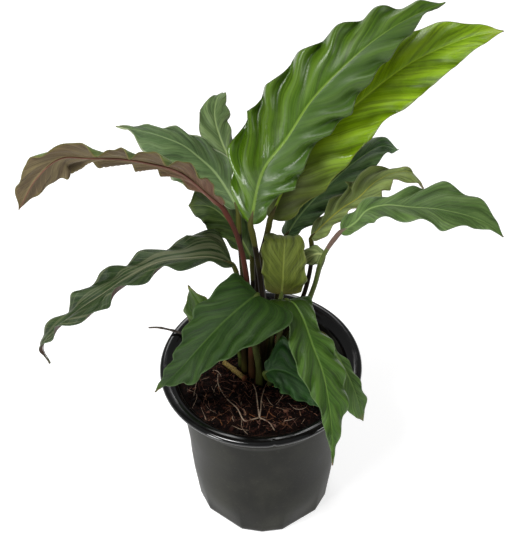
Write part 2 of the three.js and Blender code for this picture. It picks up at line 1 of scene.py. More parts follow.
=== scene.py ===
# %% [markdown]
# # A potted calathea
# A young calathea stands in a round black nursery pot: seventeen long leaves with waved margins
# on slim red-brown stalks, rooted in dark fibrous soil. Its plain solids are already packed at
# their real size. This notebook loads them as a fixed frame and dresses each one in Blender: finer
# blades with veins, two-sided colour and ruffled edges, hairy stalks, a moulded pot and loose soil.
# Every new piece is in metres, in the frame's own place, so nothing has to be fitted afterwards.

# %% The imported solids
import math
import random

import bmesh
import bpy
import numpy as np
from mathutils import Matrix, Vector, noise


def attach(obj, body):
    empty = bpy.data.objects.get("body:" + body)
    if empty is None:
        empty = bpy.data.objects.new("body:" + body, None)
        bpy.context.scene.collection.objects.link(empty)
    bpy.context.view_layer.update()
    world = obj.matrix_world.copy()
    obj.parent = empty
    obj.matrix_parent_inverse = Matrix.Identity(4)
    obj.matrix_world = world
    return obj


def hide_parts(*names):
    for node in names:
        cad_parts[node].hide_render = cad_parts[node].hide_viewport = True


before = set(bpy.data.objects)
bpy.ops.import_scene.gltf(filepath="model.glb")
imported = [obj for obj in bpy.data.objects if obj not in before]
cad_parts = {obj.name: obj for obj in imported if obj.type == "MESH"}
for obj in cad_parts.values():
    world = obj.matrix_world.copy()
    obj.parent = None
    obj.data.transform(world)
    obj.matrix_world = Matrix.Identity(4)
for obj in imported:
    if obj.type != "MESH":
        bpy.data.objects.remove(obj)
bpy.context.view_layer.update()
MM = 0.001

# %% [markdown]
# ## Camera
# The picture looks down on the plant at 46.65 degrees from almost a metre away, and leans a little
# to one side. A camera could be turned with angles, but those depend on their order. It is clearer
# to work out where its right, its up and its back point, and to put those three in its matrix.

# %% The camera
PHOTO_HEIGHT = 548
FOCAL_PIXELS = 1500
SENSOR = 36
ELEVATION = math.radians(46.65)
ROLL = math.radians(-1.65)
DISTANCE = 0.9725
AIM = Vector((-0.0022, 0, 0.2256))

back = Vector((0, -math.cos(ELEVATION), math.sin(ELEVATION)))
level = Vector((1, 0, 0))
raised = back.cross(level)
right = level * math.cos(ROLL) + raised * math.sin(ROLL)
up = raised * math.cos(ROLL) - level * math.sin(ROLL)
camera = bpy.data.objects.new("camera", bpy.data.cameras.new("camera"))
camera.data.sensor_width = SENSOR
camera.data.lens = FOCAL_PIXELS / PHOTO_HEIGHT * SENSOR
turned_to = Matrix((right, up, back)).transposed().to_4x4()
camera.matrix_world = Matrix.Translation(AIM + back * DISTANCE) @ turned_to
bpy.context.scene.collection.objects.link(camera)
bpy.context.scene.camera = camera
print("lens", round(camera.data.lens, 1), "mm")

# %% [markdown]
# ## Light
# A product picture of a plant is lit by white panels, so that its glossy leaves carry long soft
# highlights and no hard shadow falls. A dim white world gives the even base, a panel overhead on
# the left gives the main light, a low one at the front left draws highlights on the upright leaves
# and the pot's rim, and two more lift the right and far edges. The standard view transform keeps the
# greens as deep as they are.

# %% World and panels
WORLD_STRENGTH = 0.22
WHITE = (1, 1, 1, 1)
scene = bpy.context.scene
scene.view_settings.view_transform = "Standard"
scene.world = bpy.data.worlds.new("white surroundings")
scene.world.use_nodes = True
surroundings = scene.world.node_tree.nodes["Background"].inputs
surroundings["Color"].default_value = WHITE
surroundings["Strength"].default_value = WORLD_STRENGTH


def panel(name, place, target, size, power):
    """A square white light that faces its target."""
    light = bpy.data.objects.new(name, bpy.data.lights.new(name, "AREA"))
    light.data.size = size
    light.data.energy = power
    light.location = place
    light.visible_camera = False
    light.rotation_euler = (Vector(target) - Vector(place)).to_track_quat("-Z", "Y").to_euler()
    scene.collection.objects.link(light)


LEAVES_MIDDLE = (0, 0, 0.28)
panel("top panel", (-0.45, -0.35, 1.3), LEAVES_MIDDLE, 0.32, 11)
panel("low panel", (-0.82, -0.8, 0.31), LEAVES_MIDDLE, 0.22, 6)
panel("right panel", (0.95, -0.5, 0.8), LEAVES_MIDDLE, 0.3, 3)
panel("back panel", (-0.1, 1.1, 0.9), LEAVES_MIDDLE, 0.6, 5)

# %% [markdown]
# ## Helpers for materials
# Each finish here is a small node tree that ends in one Principled shader. A helper that makes a
# node, sets its options and joins its inputs in one call keeps every tree short enough to read
# from top to bottom. Colours are written as the hex values that one would pick on screen, and are
# turned into the linear values that the shader works with.

# %% Node helpers


def linear(code):
    """The linear colour of a hex code such as "3f5c23"."""
    parts = [int(code[i : i + 2], 16) / 255 for i in (0, 2, 4)]
    return (*[p / 12.92 if p <= 0.04045 else ((p + 0.055) / 1.055) ** 2.4 for p in parts], 1)


class Finish:
    """A material under construction: its nodes are made by short calls that return a socket."""

    def __init__(self, name, **shader):
        self.material = bpy.data.materials.new(name)
        self.material.use_nodes = True
        self.tree = self.material.node_tree
        self.shader = self.tree.nodes["Principled BSDF"]
        for key, value in shader.items():
            self.put(self.shader.inputs[key.replace("_", " ").title().replace("Ior", "IOR")], value)

    def put(self, socket, value):
        if isinstance(value, bpy.types.NodeSocket):
            self.tree.links.new(value, socket)
        else:
            socket.default_value = value

    def node(self, kind, inputs, output=0, **options):
        made = self.tree.nodes.new("ShaderNode" + kind)
        for key, value in options.items():
            setattr(made, key, value)
        for key, value in inputs.items():
            self.put(made.inputs[key], value)
        return made.outputs[output]

    def value(self, name):
        """A number that the piece keeps at each of its points."""
        return self.node("Attribute", {}, "Fac", attribute_name=name)

    def place(self, scale=(1, 1, 1)):
        """Object coordinates, stretched."""
        spot = self.node("TexCoord", {}, "Object")
        return self.node("Mapping", {"Vector": spot, "Scale": scale})

    def stretch(self, vector, x, y):
        """The same place with its first two numbers multiplied."""
        return self.node("Mapping", {"Vector": vector, "Scale": (x, y, 1)})

    def math(self, operation, a, b=0.0):
        return self.node("Math", {0: a, 1: b}, operation=operation)

    def step(self, value, start, end, low=0.0, high=1.0):
        """Rises smoothly from low to high as the value goes from start to end."""
        limits = {"Value": value, "From Min": start, "From Max": end, "To Min": low, "To Max": high}
        return self.node("MapRange", limits, interpolation_type="SMOOTHSTEP")

    def noise(self, vector, scale, detail=2.0, roughness=0.5):
        inputs = {"Vector": vector, "Scale": scale, "Detail": detail, "Roughness": roughness}
        return self.node("TexNoise", inputs, "Fac")

    def mix(self, share, a, b):
        """Colour a, turned into colour b by the share. The node's colours are inputs 6 and 7."""
        a, b = (linear(each) if isinstance(each, str) else each for each in (a, b))
        return self.node("Mix", {0: share, 6: a, 7: b}, 2, data_type="RGBA")

    def bump(self, height, depth, strength=1.0):
        """Shades the surface as if it rose by the height, which is 1 where it rises by the depth."""
        inputs = {"Height": height, "Distance": depth, "Strength": strength}
        self.put(self.shader.inputs["Normal"], self.node("Bump", inputs))

    def colour(self, socket):
        self.put(self.shader.inputs["Base Color"], socket)


# %% [markdown]
# ## Helpers for meshes
# Leaves and stalks are both bent sheets: a leaf is a grid laid along its midrib, and a stalk is a
# grid rolled into a tube. So one helper makes a grid with the bmesh operator and moves its points
# to where a formula wants them, and notes numbers such as the distance from the midrib on each
# point, for the material to read. The rest turn a bmesh into a finished piece.

# %% Grids, tubes and pieces
LINE_STEPS = 201
LINE_REACH = 1e-4
CLOSED_END = 1e-3
WELD = 2e-6
FINE_WELD = 1e-7


def placed(name, bm):
    """Turns a bmesh into an object at the origin of the scene."""
    mesh = bpy.data.meshes.new(name)
    bm.to_mesh(mesh)
    bm.free()
    made = bpy.data.objects.new(name, mesh)
    scene.collection.objects.link(made)
    return made


def linked(name, bm, materials, nodes=()):
    """Makes the smooth object of a piece, attaches it to the root and hides the solids that it stands in
    for.
    """
    made = placed(name, bm)
    made.data.polygons.foreach_set("use_smooth", [True] * len(made.data.polygons))
    for finish in materials:
        made.data.materials.append(finish)
    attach(made, "root")
    if nodes:
        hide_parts(*nodes)
    return made


def grid(bm, rows, columns, shape):
    """A grid of quads, its points moved to shape(u, v) in millimetres, with their noted numbers."""
    made = bmesh.ops.create_grid(bm, x_segments=rows, y_segments=columns, size=0.5)["verts"]
    spots = np.array([vert.co[:2] for vert in made]) + 0.5
    points, notes = shape(spots[:, 0], spots[:, 1])
    layers = [bm.verts.layers.float.get(name) or bm.verts.layers.float.new(name) for name in notes]
    verts = list(bm.verts)[-len(spots):]
    for vert, point in zip(verts, points * MM):
        vert.co = point
    for layer, numbers in zip(layers, notes.values()):
        for vert, number in zip(verts, numbers):
            vert[layer] = number
    return verts


class Line:
    """A smooth line through a few points, read by the share of its length."""

    def __init__(self, points):
        self.points = np.array(points, float)
        self.turns = np.linspace(0, 1, LINE_STEPS)
        steps = np.linalg.norm(np.diff(self.curve(self.turns), axis=0), axis=1)
        self.lengths = np.concatenate([[0], np.cumsum(steps)])
        self.length = self.lengths[-1]

    def curve(self, t):
        """A centripetal Catmull-Rom curve, which passes through every point without loops."""
        p = self.points
        last = len(p) - 1
        spot = np.clip(t, 0, 1) * last
        i = np.minimum(spot.astype(int), last - 1)
        w = (spot - i)[:, None]
        padded = np.vstack([2 * p[0] - p[1], p, 2 * p[-1] - p[-2]])
        a, b, c, d = (padded[i + k] for k in range(4))
        gaps = ((a, b), (b, c), (c, d))
        ab, bc, cd = (np.linalg.norm(n - m, axis=1)[:, None] ** 0.5 for m, n in gaps)
        leave = ((b - a) / ab - (c - a) / (ab + bc) + (c - b) / bc) * bc
        arrive = ((c - b) / bc - (d - b) / (bc + cd) + (d - c) / cd) * bc
        square = -3 * b + 3 * c - 2 * leave - arrive
        cube = 2 * b - 2 * c + leave + arrive
        return b + w * (leave + w * (square + w * cube))

    def turn(self, share):
        return np.interp(np.clip(share, 0, 1) * self.length, self.lengths, self.turns)

    def at(self, share):
        return self.curve(self.turn(share))

    def along(self, share):
        t = self.turn(share)
        step = self.curve(np.minimum(1, t + LINE_REACH)) - self.curve(np.maximum(0, t - LINE_REACH))
        return step / np.linalg.norm(step, axis=1)[:, None]


def unit(vectors):
    return vectors / np.maximum(1e-9, np.linalg.norm(vectors, axis=1))[:, None]


def smooth(t):
    t = np.clip(t, 0, 1)
    return t * t * (3 - 2 * t)


def tube(bm, points, radius, sides, rows):
    """A closed round bar along a smooth line. radius(share) gives its radius in millimetres."""
    line = Line(points)
    shares = np.linspace(0, 1, rows + 1)
    along = line.along(shares)
    across = np.zeros((rows + 1, 3))
    start = np.eye(3)[0 if abs(along[0][0]) < 0.9 else 1]
    for i, way in enumerate(along):
        start = start - way * start.dot(way)
        start = start / np.linalg.norm(start)
        across[i] = start
    other = np.cross(along, across)
    centres = line.at(shares)

    def shape(u, v):
        row = np.rint(u * rows).astype(int)
        turn = 2 * np.pi * v
        inner = (row > 0) & (row < rows)
        size = (radius(shares[row]) * np.where(inner, 1, CLOSED_END))[:, None]
        ring = np.cos(turn)[:, None] * across[row] + np.sin(turn)[:, None] * other[row]
        return centres[row] + size * ring, {"along": u}

    return grid(bm, rows, sides, shape)


def welded(bm, distance=WELD):
    """Closes the seams and ends of every tube, and points all the faces outwards."""
    bmesh.ops.remove_doubles(bm, verts=bm.verts, dist=distance)
    bmesh.ops.recalc_face_normals(bm, faces=bm.faces)
    return bm


# %% [markdown]
# ## The shape of a leaf
# Every leaf is described in the same few words, and its numbers were fitted to its outline. Its
# stalk and its midrib (spine) are smooth lines through the listed points, in millimetres. Face says
# which way the upper side looks at the base, the middle and the tip. Left and right are the widths
# of the two halves at seven stations on the way to the tip. Fold and curl lift each half and bend
# its margin back down, in degrees. Wave and waves are the height and number of the ruffles, turn is
# where the first one starts, and stagger is how far the right margin's ruffles lie ahead. Lobe is
# how much the margin swings out with them. Peaks, where a leaf has it, is how pointed they are.

# %% The leaves
LEAVES = {
    "tall_front": dict(
        stalk=[(1, -1, 140), (2, 6, 200), (-1, 11, 234), (-4, 14, 256)],
        spine=[(-4.2, 14.1, 257), (4.8, 20.4, 297.9), (19.2, 25.1, 318.6), (35.4, 34.2, 341.9),
               (53.7, 43.4, 358.3), (75.1, 55.1, 370.9), (95.7, 66.8, 376.8), (119, 81, 377.2)],
        face=[(-0.46, -0.88, 0.21), (-0.03, -0.58, 0.47), (-0.3, -0.48, 0.93)],
        left=[18.6, 27.5, 30.2, 26.3, 22.7, 18.2, 9.3], right=[9.6, 23.9, 18.1, 24.7, 17.4, 11.5, 2.6],
        fold=5, curl=22, lobe=0.06, wave=6.7, waves=8.3, turn=-0.12, stagger=0.19,
        radius=(2.5, 1.7),
    ),
    "tall_lime": dict(
        stalk=[(4, 11, 140), (3, 17, 180), (2, 25, 213), (6, 29, 231), (9, 30, 245)],
        spine=[(8.9, 30.1, 246.1), (21.5, 36.1, 275.3), (39.9, 44.4, 301.6), (65.1, 56.3, 319.4),
               (98.5, 72.8, 336.6), (136.2, 88, 343.8), (160.5, 97.6, 341)],
        face=[(-0.41, -0.74, 0.48), (-0.29, -0.62, 0.7), (0.14, -0.71, 0.7)],
        left=[14.4, 21.2, 23.9, 23.4, 21, 16.3, 7.4], right=[15.2, 23.9, 25, 20, 21.4, 15, 6.7],
        fold=5, curl=18, lobe=0.02, wave=4, waves=7.1, turn=0.74, stagger=0.38,
        radius=(2.5, 1.7),
    ),
    "left_broad": dict(
        stalk=[(-7, 7, 140), (-9, 11.4, 178.5), (-11, 17.7, 225.1), (-12, 27.1, 256.6)],
        spine=[(-12, 28.1, 257.6), (-18.9, 34.3, 269.6), (-26.7, 39.6, 280.7), (-35.6, 43.8, 288.7),
               (-44.9, 46.9, 296.3), (-55.9, 49.5, 301), (-68.8, 52.7, 304), (-88, 57.3, 305.3)],
        face=[(-0.5, -0.5, 0.7), (-0.21, -0.19, 0.95), (0.01, -0.23, 0.97)],
        left=[12, 17.9, 20.9, 20.9, 18, 10.9, 0.8], right=[8.5, 12.7, 14.9, 15.5, 14.7, 7.8, 4.4],
        fold=-6, curl=20, lobe=0.04, wave=3.1, waves=5.8, turn=-0.38, stagger=0.33,
        radius=(2.2, 1.5),
    ),
    "back_left": dict(
        stalk=[(-1, 19, 140), (-1, 28, 187), (-4, 38.5, 233), (-9, 43, 260)],
        spine=[(-9, 43, 261), (-16.5, 54.9, 275.9), (-22.8, 68, 285.9), (-25.6, 80.2, 293.1),
               (-23.7, 92.4, 296.4), (-20.9, 99.6, 294.9), (-19.3, 106.7, 288.1)],
        face=[(0.11, -0.75, 0.6), (0.23, -0.46, 0.84), (0.03, 0.49, 0.85)],
        left=[6.7, 9.8, 10.9, 10.9, 10.3, 3.5, 0.9], right=[9.2, 11.6, 9.1, 8.6, 10.4, 5.9, 1.9],
        fold=7, curl=17, lobe=0.06, wave=2.4, waves=5.3, turn=0.57, stagger=0.41,
        radius=(2.2, 1.5),
    ),
    "left_behind": dict(
        stalk=[(-8, 14, 140), (-4, 20.5, 188.4), (-4, 25, 212.8)],
        spine=[(-4, 25, 213.8), (-10.4, 30.2, 227), (-19, 35.4, 240.2), (-30.5, 40, 248.7),
               (-44.5, 42.2, 248.4)],
        face=[(-0.3, -0.7, 0.6), (-0.3, -0.5, 0.8), (-0.31, -0.52, 0.83)],
        left=[5.3, 8.2, 10.3, 11.9, 13.2, 11.1, 7.8], right=[5.3, 8.2, 9.9, 10.8, 11.6, 12, 11.7],
        fold=6, curl=11, lobe=0.05, wave=2.2, waves=4.9, turn=0.51, stagger=0.42,
        radius=(2.2, 1.4),
    ),
    "right_low": dict(
        stalk=[(15, 0, 136), (24, 6, 150), (34, 7, 158), (43, 5, 159)],
        spine=[(44, 4, 159), (50.5, -6.2, 152.7), (57.4, -18.3, 146.7), (63.2, -31.5, 139.6),
               (68.3, -42.6, 122.4)],
        face=[(0.31, -0.19, 0.9), (0.4, -0.21, 0.9), (0.66, -0.54, 0.51)],
        left=[2.5, 2.3, 5.9, 6.7, 7.3, 8.2, 4.1], right=[5.5, 8.2, 9.7, 10.3, 10.8, 10.7, 5.5],
        fold=6, curl=10, lobe=0.05, wave=1.3, waves=4.3, turn=0.14, stagger=0.4,
        radius=(2, 1.3),
    ),
    "right_long": dict(
        stalk=[(15, 6, 138), (34, 13, 187), (38, 15, 200), (41, 16, 217), (47, 16, 234),
               (53.4, 16, 245.4)],
        spine=[(54, 16, 246), (62.9, 14.5, 255.3), (70.6, 14.2, 266.7), (81.5, 11.5, 273.1),
               (95.5, 6.2, 276.1), (114.2, 2, 277.3), (132.4, -3.2, 275.7), (144.7, -7.5, 271.7),
               (153.3, -11.5, 264.8)],
        face=[(-0.35, -0.26, 0.86), (-0.11, 0.12, 0.96), (0.2, -0.34, 0.91)],
        left=[9.3, 7.4, 9.7, 21.6, 22.3, 14.4, 6.1], right=[5.7, 10.3, 13.7, 13.4, 17.5, 8.8, 2.7],
        fold=10, curl=7, lobe=0.06, wave=2.6, waves=4.9, turn=0.57, stagger=0.4,
        radius=(2.2, 1.4),
    ),
    "right_behind": dict(
        stalk=[(8, 17, 140), (13, 30.2, 176.6), (18.4, 44, 213.4)],
        spine=[(19, 44.5, 214.3), (31, 56.5, 225.3), (50, 67.5, 240.3), (69, 76.5, 253.3),
               (84.9, 84.7, 257.4), (97.6, 89.9, 248.8)],
        face=[(-0.5, -0.2, 0.8), (-0.2, -0.11, 0.95), (0.35, -0.04, 0.87)],
        left=[8.9, 13.3, 15.6, 15.8, 14.4, 11.5, 7.9], right=[8.9, 13.4, 15.8, 16, 14, 8.6, 4.8],
        fold=6, curl=11, lobe=0.05, wave=2.8, waves=5.2, turn=0.85, stagger=0.46,
        radius=(2.2, 1.4),
    ),
    "right_olive": dict(
        stalk=[(14, 13, 138), (31, 24, 180), (36, 30, 206), (36, 32, 224.2)],
        spine=[(35.8, 32.3, 225.3), (45.4, 34.8, 236), (56.4, 38.4, 245.3), (66.4, 40, 252.4),
               (78.2, 48.2, 258.9), (89.6, 50.2, 264.1), (100.6, 48, 267), (109.6, 45.9, 254.2)],
        face=[(-0.53, 0, 0.83), (-0.07, 0.15, 0.93), (0.31, 0.07, 0.9)],
        left=[8.2, 10.6, 16.9, 16.6, 11.5, 2.3, 2.6], right=[9.1, 10.5, 9.7, 14.1, 12, 11.3, 5.9],
        fold=13, curl=13, lobe=0.05, wave=3.3, waves=5.5, turn=0.26, stagger=0.33,
        radius=(2, 1.4),
    ),
    "left_arch": dict(
        stalk=[(-6, -1, 140), (-8, 1, 224), (-13, 0, 262), (-21, -3, 290)],
        spine=[(-22, -3, 291), (-31.5, -4.3, 305.8), (-45.5, -7.2, 324.9), (-62.5, -10.9, 335.9),
               (-79.9, -13.2, 342.3), (-96.5, -19.3, 348.8), (-112.3, -21.8, 351.4),
               (-127.7, -24.1, 338.4), (-140.7, -27.7, 316.6)],
        face=[(0.42, 0.82, 0.37), (0.12, 0.78, 0.56), (-0.41, 0.94, -0.16)],
        left=[8.2, 12.6, 15.2, 15.3, 13.3, 11.3, 7.5], right=[6.6, 15, 18.6, 20.3, 20.2, 15.5, 6.5],
        fold=7, curl=6, lobe=0.02, wave=3, waves=7.7, turn=-0.5, stagger=0.73, peaks=0.4,
        radius=(2.4, 1.5),
    ),
    "front_left": dict(
        stalk=[(-1, -8, 140), (-4, -6, 165), (-3, -5, 195), (-1, -6, 212)],
        spine=[(-0.9, -6.8, 213.1), (-6.2, -13.1, 215.4), (-21.7, -22.4, 207.2),
               (-41.3, -28.6, 185.3), (-55.6, -29.6, 164.2), (-71.7, -28.6, 142.8)],
        face=[(-0.25, -0.54, 0.77), (-0.44, -0.54, 0.66), (-0.48, -0.73, 0.49)],
        left=[34.4, 29.5, 23.5, 17.6, 16.5, 6.9, 0.8], right=[20.7, 18.6, 19, 14.8, 9.8, 7.1, 3.2],
        fold=15, curl=-3, lobe=0.05, wave=2.1, waves=6.4, turn=0.23, stagger=0.24, peaks=0,
        radius=(2.6, 1.5),
    ),
    "front_right": dict(
        stalk=[(10, -3, 140), (14, 1.8, 169), (18.8, -2.2, 202)],
        spine=[(18, -2.9, 203), (22.7, -10.5, 207.4), (27.9, -20.8, 204.8), (33.9, -34.9, 193.2),
               (39.7, -47.3, 181.7), (43.1, -58.1, 167), (45, -67.8, 149.8), (45.5, -78.2, 122)],
        face=[(0.3, -0.05, 0.87), (0.17, -0.46, 0.79), (0.11, -0.95, 0.3)],
        left=[13.9, 7.2, 12.8, 13.3, 12, 5.5, 1.9], right=[18.2, 13, 16.6, 14.1, 7, 4.3, 0.8],
        fold=12, curl=7, lobe=0.07, wave=3.2, waves=6.4, turn=0.42, stagger=0.15,
        radius=(2.4, 1.4),
    ),
    "front_small": dict(
        stalk=[(6, -9, 128), (4, -12.4, 134.5), (2, -15.7, 143.9)],
        spine=[(2.8, -15.7, 144.9), (9.7, -17.5, 149.1), (17.5, -19.9, 149.2), (28.3, -24.8, 144.1),
               (39.3, -31.6, 136.3), (44.5, -38.5, 133)],
        face=[(-0.11, -0.56, 0.8), (0.01, -0.73, 0.66), (0.29, -0.71, 0.7)],
        left=[7.7, 22.4, 10.4, 9.4, 9.6, 6.8, 2.9], right=[8.8, 12.2, 13.9, 13.7, 11.8, 8.8, 6],
        fold=10, curl=10, lobe=0.07, wave=2, waves=4.2, turn=0.62, stagger=0.31,
        radius=(2, 1.3),
    ),
    "young_centre": dict(
        stalk=[(6, 4, 140), (9, 3, 166.1), (15, 3.9, 200.2)],
        spine=[(15, 3.9, 201.2), (16, 5.9, 216.2), (16.8, 10, 229.3), (17.7, 16, 237.3),
               (17.6, 23.1, 236.4), (17.8, 29.1, 228.2)],
        face=[(0, -0.95, 0.3), (0, -0.85, 0.5), (0.03, -0.2, 0.9)],
        left=[10.6, 12.7, 13.7, 14.3, 14.9, 12.6, 5.3], right=[13.3, 15.7, 14.9, 14.3, 13.5, 9.2, 3.6],
        fold=8, curl=8, lobe=0.05, wave=1.6, waves=4.1, turn=0.15, stagger=0.34,
        radius=(1.9, 1.3),
    ),
    "left_low": dict(
        stalk=[(-11, 3, 140), (-12, 6, 190), (-14, 8, 217), (-16, 8, 226)],
        spine=[(-17, 8.1, 227.1), (-29.9, 5.6, 236.5), (-43.8, 1.5, 240.6), (-62.9, 0, 239.4),
               (-84.1, -5.1, 231.6), (-100.8, -9.2, 220.9), (-118.3, -15.3, 211.7),
               (-133.1, -17.7, 197.6), (-144.1, -19.8, 182.8), (-140.5, -21.8, 167.9)],
        face=[(-0.16, 0.06, 0.91), (0.68, 0.23, 0.71), (-0.73, -0.04, 0.5)],
        left=[9.7, 12.3, 13.3, 17.5, 14.7, 5.6, 1.8], right=[25.5, 15.1, 10.8, 15.7, 11.2, 8, 6.7],
        fold=15, curl=3, lobe=0.05, wave=3.9, waves=6.4, turn=0.83, stagger=0.59,
        radius=(2.2, 1.4),
    ),
    "left_tip": dict(
        stalk=[(-14, 9, 132), (-15, 7, 142), (-16, 5, 149)],
        spine=[(-17, 5, 150), (-24, 5.1, 162.1), (-31, 6.2, 174.3), (-40.1, 8.4, 190.4),
               (-46.8, 10.7, 205.4)],
        face=[(-0.5, -0.6, 0.6), (-0.51, -0.53, 0.65), (-0.64, -0.44, 0.53)],
        left=[10.2, 15.5, 18.3, 18.8, 15.9, 8.3, 3], right=[5.1, 7.6, 8.9, 9.1, 9, 8, 4],
        fold=9, curl=9, lobe=0.05, wave=1.7, waves=3.1, turn=0.41, stagger=0.33,
        radius=(1.8, 1.2),
    ),
    "right_flap": dict(
        stalk=[(21, 9, 138), (35, 22, 176), (39, 24, 190), (42, 25, 205), (45, 26, 214)],
        spine=[(44, 26, 215), (39, 24, 218), (34, 22, 217), (29, 20, 213)],
        face=[(0.1, -0.5, 0.8), (0, -0.6, 0.8), (-0.3, -0.7, 0.6)],
        left=[3.8, 5.7, 6.8, 7, 6.2, 4.1, 1.6], right=[3.2, 4.9, 5.8, 6, 5.3, 3.5, 1.4],
        fold=10, curl=8, lobe=0.05, wave=1, waves=3, turn=0.2, stagger=0.37,
        radius=(1.6, 1.1),
    ),
}

# %% [markdown]
# A blade is its midrib with a strip of surface to each side. At each point along the midrib the
# strip starts level with the face, is lifted by the fold, curls at its margin and rises and falls
# with the ruffles, which grow towards the margin. Waving the points by a formula gives each leaf
# its own natural shape, where a simulation would need to be tamed leaf by leaf.

# %% The surface of a blade
NECK_WIDTH = 1.1
TIP_WIDTH = 0.2
STATIONS = np.array([0, 0.08, 0.2, 0.35, 0.5, 0.65, 0.8, 0.92, 1])
VEIN_LEAN = 1.7
WAVE_START = 0.45
WAVE_RISE = 2.1
LOBE_LAG = 1.3
PEAKS = 0.05
PEAK_TURN = 0.9
FRILL = 0.07
FRILLS_PER_WAVE = 2.4
FRILL_RISE = 4
FRILL_DRIFT = 7
END_CALM = 0.6


def half_width(leaf, t, s):
    """Distance in millimetres from the midrib to the margin, without its lobes."""
    left = np.array([NECK_WIDTH, *leaf["left"], TIP_WIDTH])
    right = np.array([NECK_WIDTH, *leaf["right"], TIP_WIDTH])
    k = np.clip(np.searchsorted(STATIONS, t) - 1, 0, len(STATIONS) - 2)
    u = (t - STATIONS[k]) / (STATIONS[k + 1] - STATIONS[k])
    share = np.where(k == 0, np.sqrt(np.clip(u * (2 - u), 0, 1)), (u + smooth(u)) / 2)
    here = np.where(s > 0, right[k], left[k])
    there = np.where(s > 0, right[k + 1], left[k + 1])
    return here + (there - here) * share


def facing(leaf, line, t):
    """Which way the upper side looks, square to the midrib."""
    base, middle, tip = np.array(leaf["face"], float)
    first = smooth(2 * t)[:, None]
    second = smooth(2 * t - 1)[:, None]
    early = base + (middle - base) * first
    late = middle + (tip - middle) * second
    face = np.where(t[:, None] < 0.5, early, late)
    along = line.along(t)
    return unit(face - along * np.sum(face * along, axis=1)[:, None]), along


def ruffle(leaf, line, t, s):
    """How many ruffles lie behind a point: at the margin beside it, and along its own side vein."""
    margin = leaf["waves"] * t - WAVE_START + leaf["turn"] + np.where(s > 0, leaf["stagger"], 0)
    inward = VEIN_LEAN * half_width(leaf, t, s) * (1 - np.abs(s)) / line.length
    return margin, margin + leaf["waves"] * inward


def blade_point(leaf, line, t, s):
    """The middle of the blade at t along the midrib and s across, from -1 to 1."""
    a = np.abs(s)
    face, along = facing(leaf, line, t)
    side = np.cross(along, face)
    ends = np.sin(np.pi * np.clip(t, 0.02, 0.98)) ** END_CALM
    margin, here = (2 * np.pi * turns for turns in ruffle(leaf, line, t, s))
    width = half_width(leaf, t, s) * (1 + leaf["lobe"] * ends * np.sin(margin + LOBE_LAG))
    lift = np.radians(leaf["fold"] - leaf["curl"] * a)
    pointed = np.sin(here) + leaf.get("peaks", PEAKS) * np.sin(2 * here + PEAK_TURN)
    wave = leaf["wave"] * a**WAVE_RISE * ends * pointed
    frilled = np.sin(FRILLS_PER_WAVE * here + FRILL_DRIFT * t)
    frill = FRILL * leaf["wave"] * a**FRILL_RISE * ends * frilled
    out = (np.sign(s) * a * width * np.cos(lift))[:, None]
    rise = (a * width * np.sin(lift) + wave + frill)[:, None]
    return line.at(t) + side * out + face * rise


# %% [markdown]
# Side veins leave the midrib at an angle and lean towards the tip. Between them the blade is
# quilted: it puffs up a little, as a sheet does between seams. The quilting and the groove over the
# midrib are real shape here, a few tenths of a millimetre deep, because they catch the light from
# every side. The finest veins, about a millimetre apart, are left to the material's bump.

# %% One blade
BLADE_THICKNESS = 0.5
QUILT = 0.38
QUILTS_PER_WAVE = 3
GROOVE = 0.3
GROOVE_WIDTH = 0.9
SMOOTH_RIB = 5
SMOOTH_END = 0.06
SMOOTH_TIP = 0.12
ROW_LENGTH = 1.0
HALF_COLUMNS = 19
CROWDED = 1.3
NUDGE = 0.004
SIDE_NUDGE = 0.05


def quilting(leaf, line, t, s):
    """How far the blade is puffed up between its side veins, in millimetres."""
    lateral = np.abs(s) * half_width(leaf, t, s)
    _, here = ruffle(leaf, line, t, s)
    uneven = QUILTS_PER_WAVE * here + 0.35 * np.sin(here * 3.1 + leaf["turn"] * 9)
    uneven += 0.2 * np.sin(here * 7.7)
    puff = np.abs(np.sin(np.pi * uneven)) ** 0.7 - 0.5
    deep = 0.6 + 0.4 * np.sin(here * 5.3 + 11 * t)
    inner = smooth(lateral / SMOOTH_RIB) * (1 - 0.6 * smooth((np.abs(s) - 0.8) / 0.2))
    ends = smooth(t / SMOOTH_END) * smooth((1 - t) / SMOOTH_TIP)
    return (QUILT * puff * deep * inner - GROOVE * np.exp(-((lateral / GROOVE_WIDTH) ** 2))) * ends


def make_blade(name, leaf, skins):
    """A thin two-sided blade that follows the leaf's midrib and shows its quilting."""
    line = Line(leaf["spine"])
    rows = round(line.length / ROW_LENGTH)

    def shape(u, v):
        s = 1 - 2 * v
        s = np.sign(s) * np.abs(s) ** CROWDED
        ahead = blade_point(leaf, line, np.minimum(1, u + NUDGE), s)
        behind = blade_point(leaf, line, np.maximum(0, u - NUDGE), s)
        leftward = blade_point(leaf, line, u, np.maximum(-1, s - SIDE_NUDGE))
        rightward = blade_point(leaf, line, u, np.minimum(1, s + SIDE_NUDGE))
        normal = unit(np.cross(ahead - behind, leftward - rightward))
        rise = quilting(leaf, line, u, s) + BLADE_THICKNESS / 2
        width = half_width(leaf, u, s)
        lateral = np.abs(s) * width
        _, here = ruffle(leaf, line, u, s)
        return blade_point(leaf, line, u, s) + normal * rise[:, None], {
            "along": u,
            "across": s,
            "lateral": lateral,
            "margin": width - lateral,
            "vein": u * line.length - VEIN_LEAN * lateral,
            "wave": here,
        }

    bm = bmesh.new()
    grid(bm, rows, 2 * HALF_COLUMNS, shape)
    blade = linked("leaf_" + name, bm, skins, ["blade_" + name])
    wall = blade.modifiers.new("thickness", "SOLIDIFY")
    wall.thickness = BLADE_THICKNESS * MM
    wall.offset = -1
    wall.material_offset = 1
    wall.material_offset_rim = 0
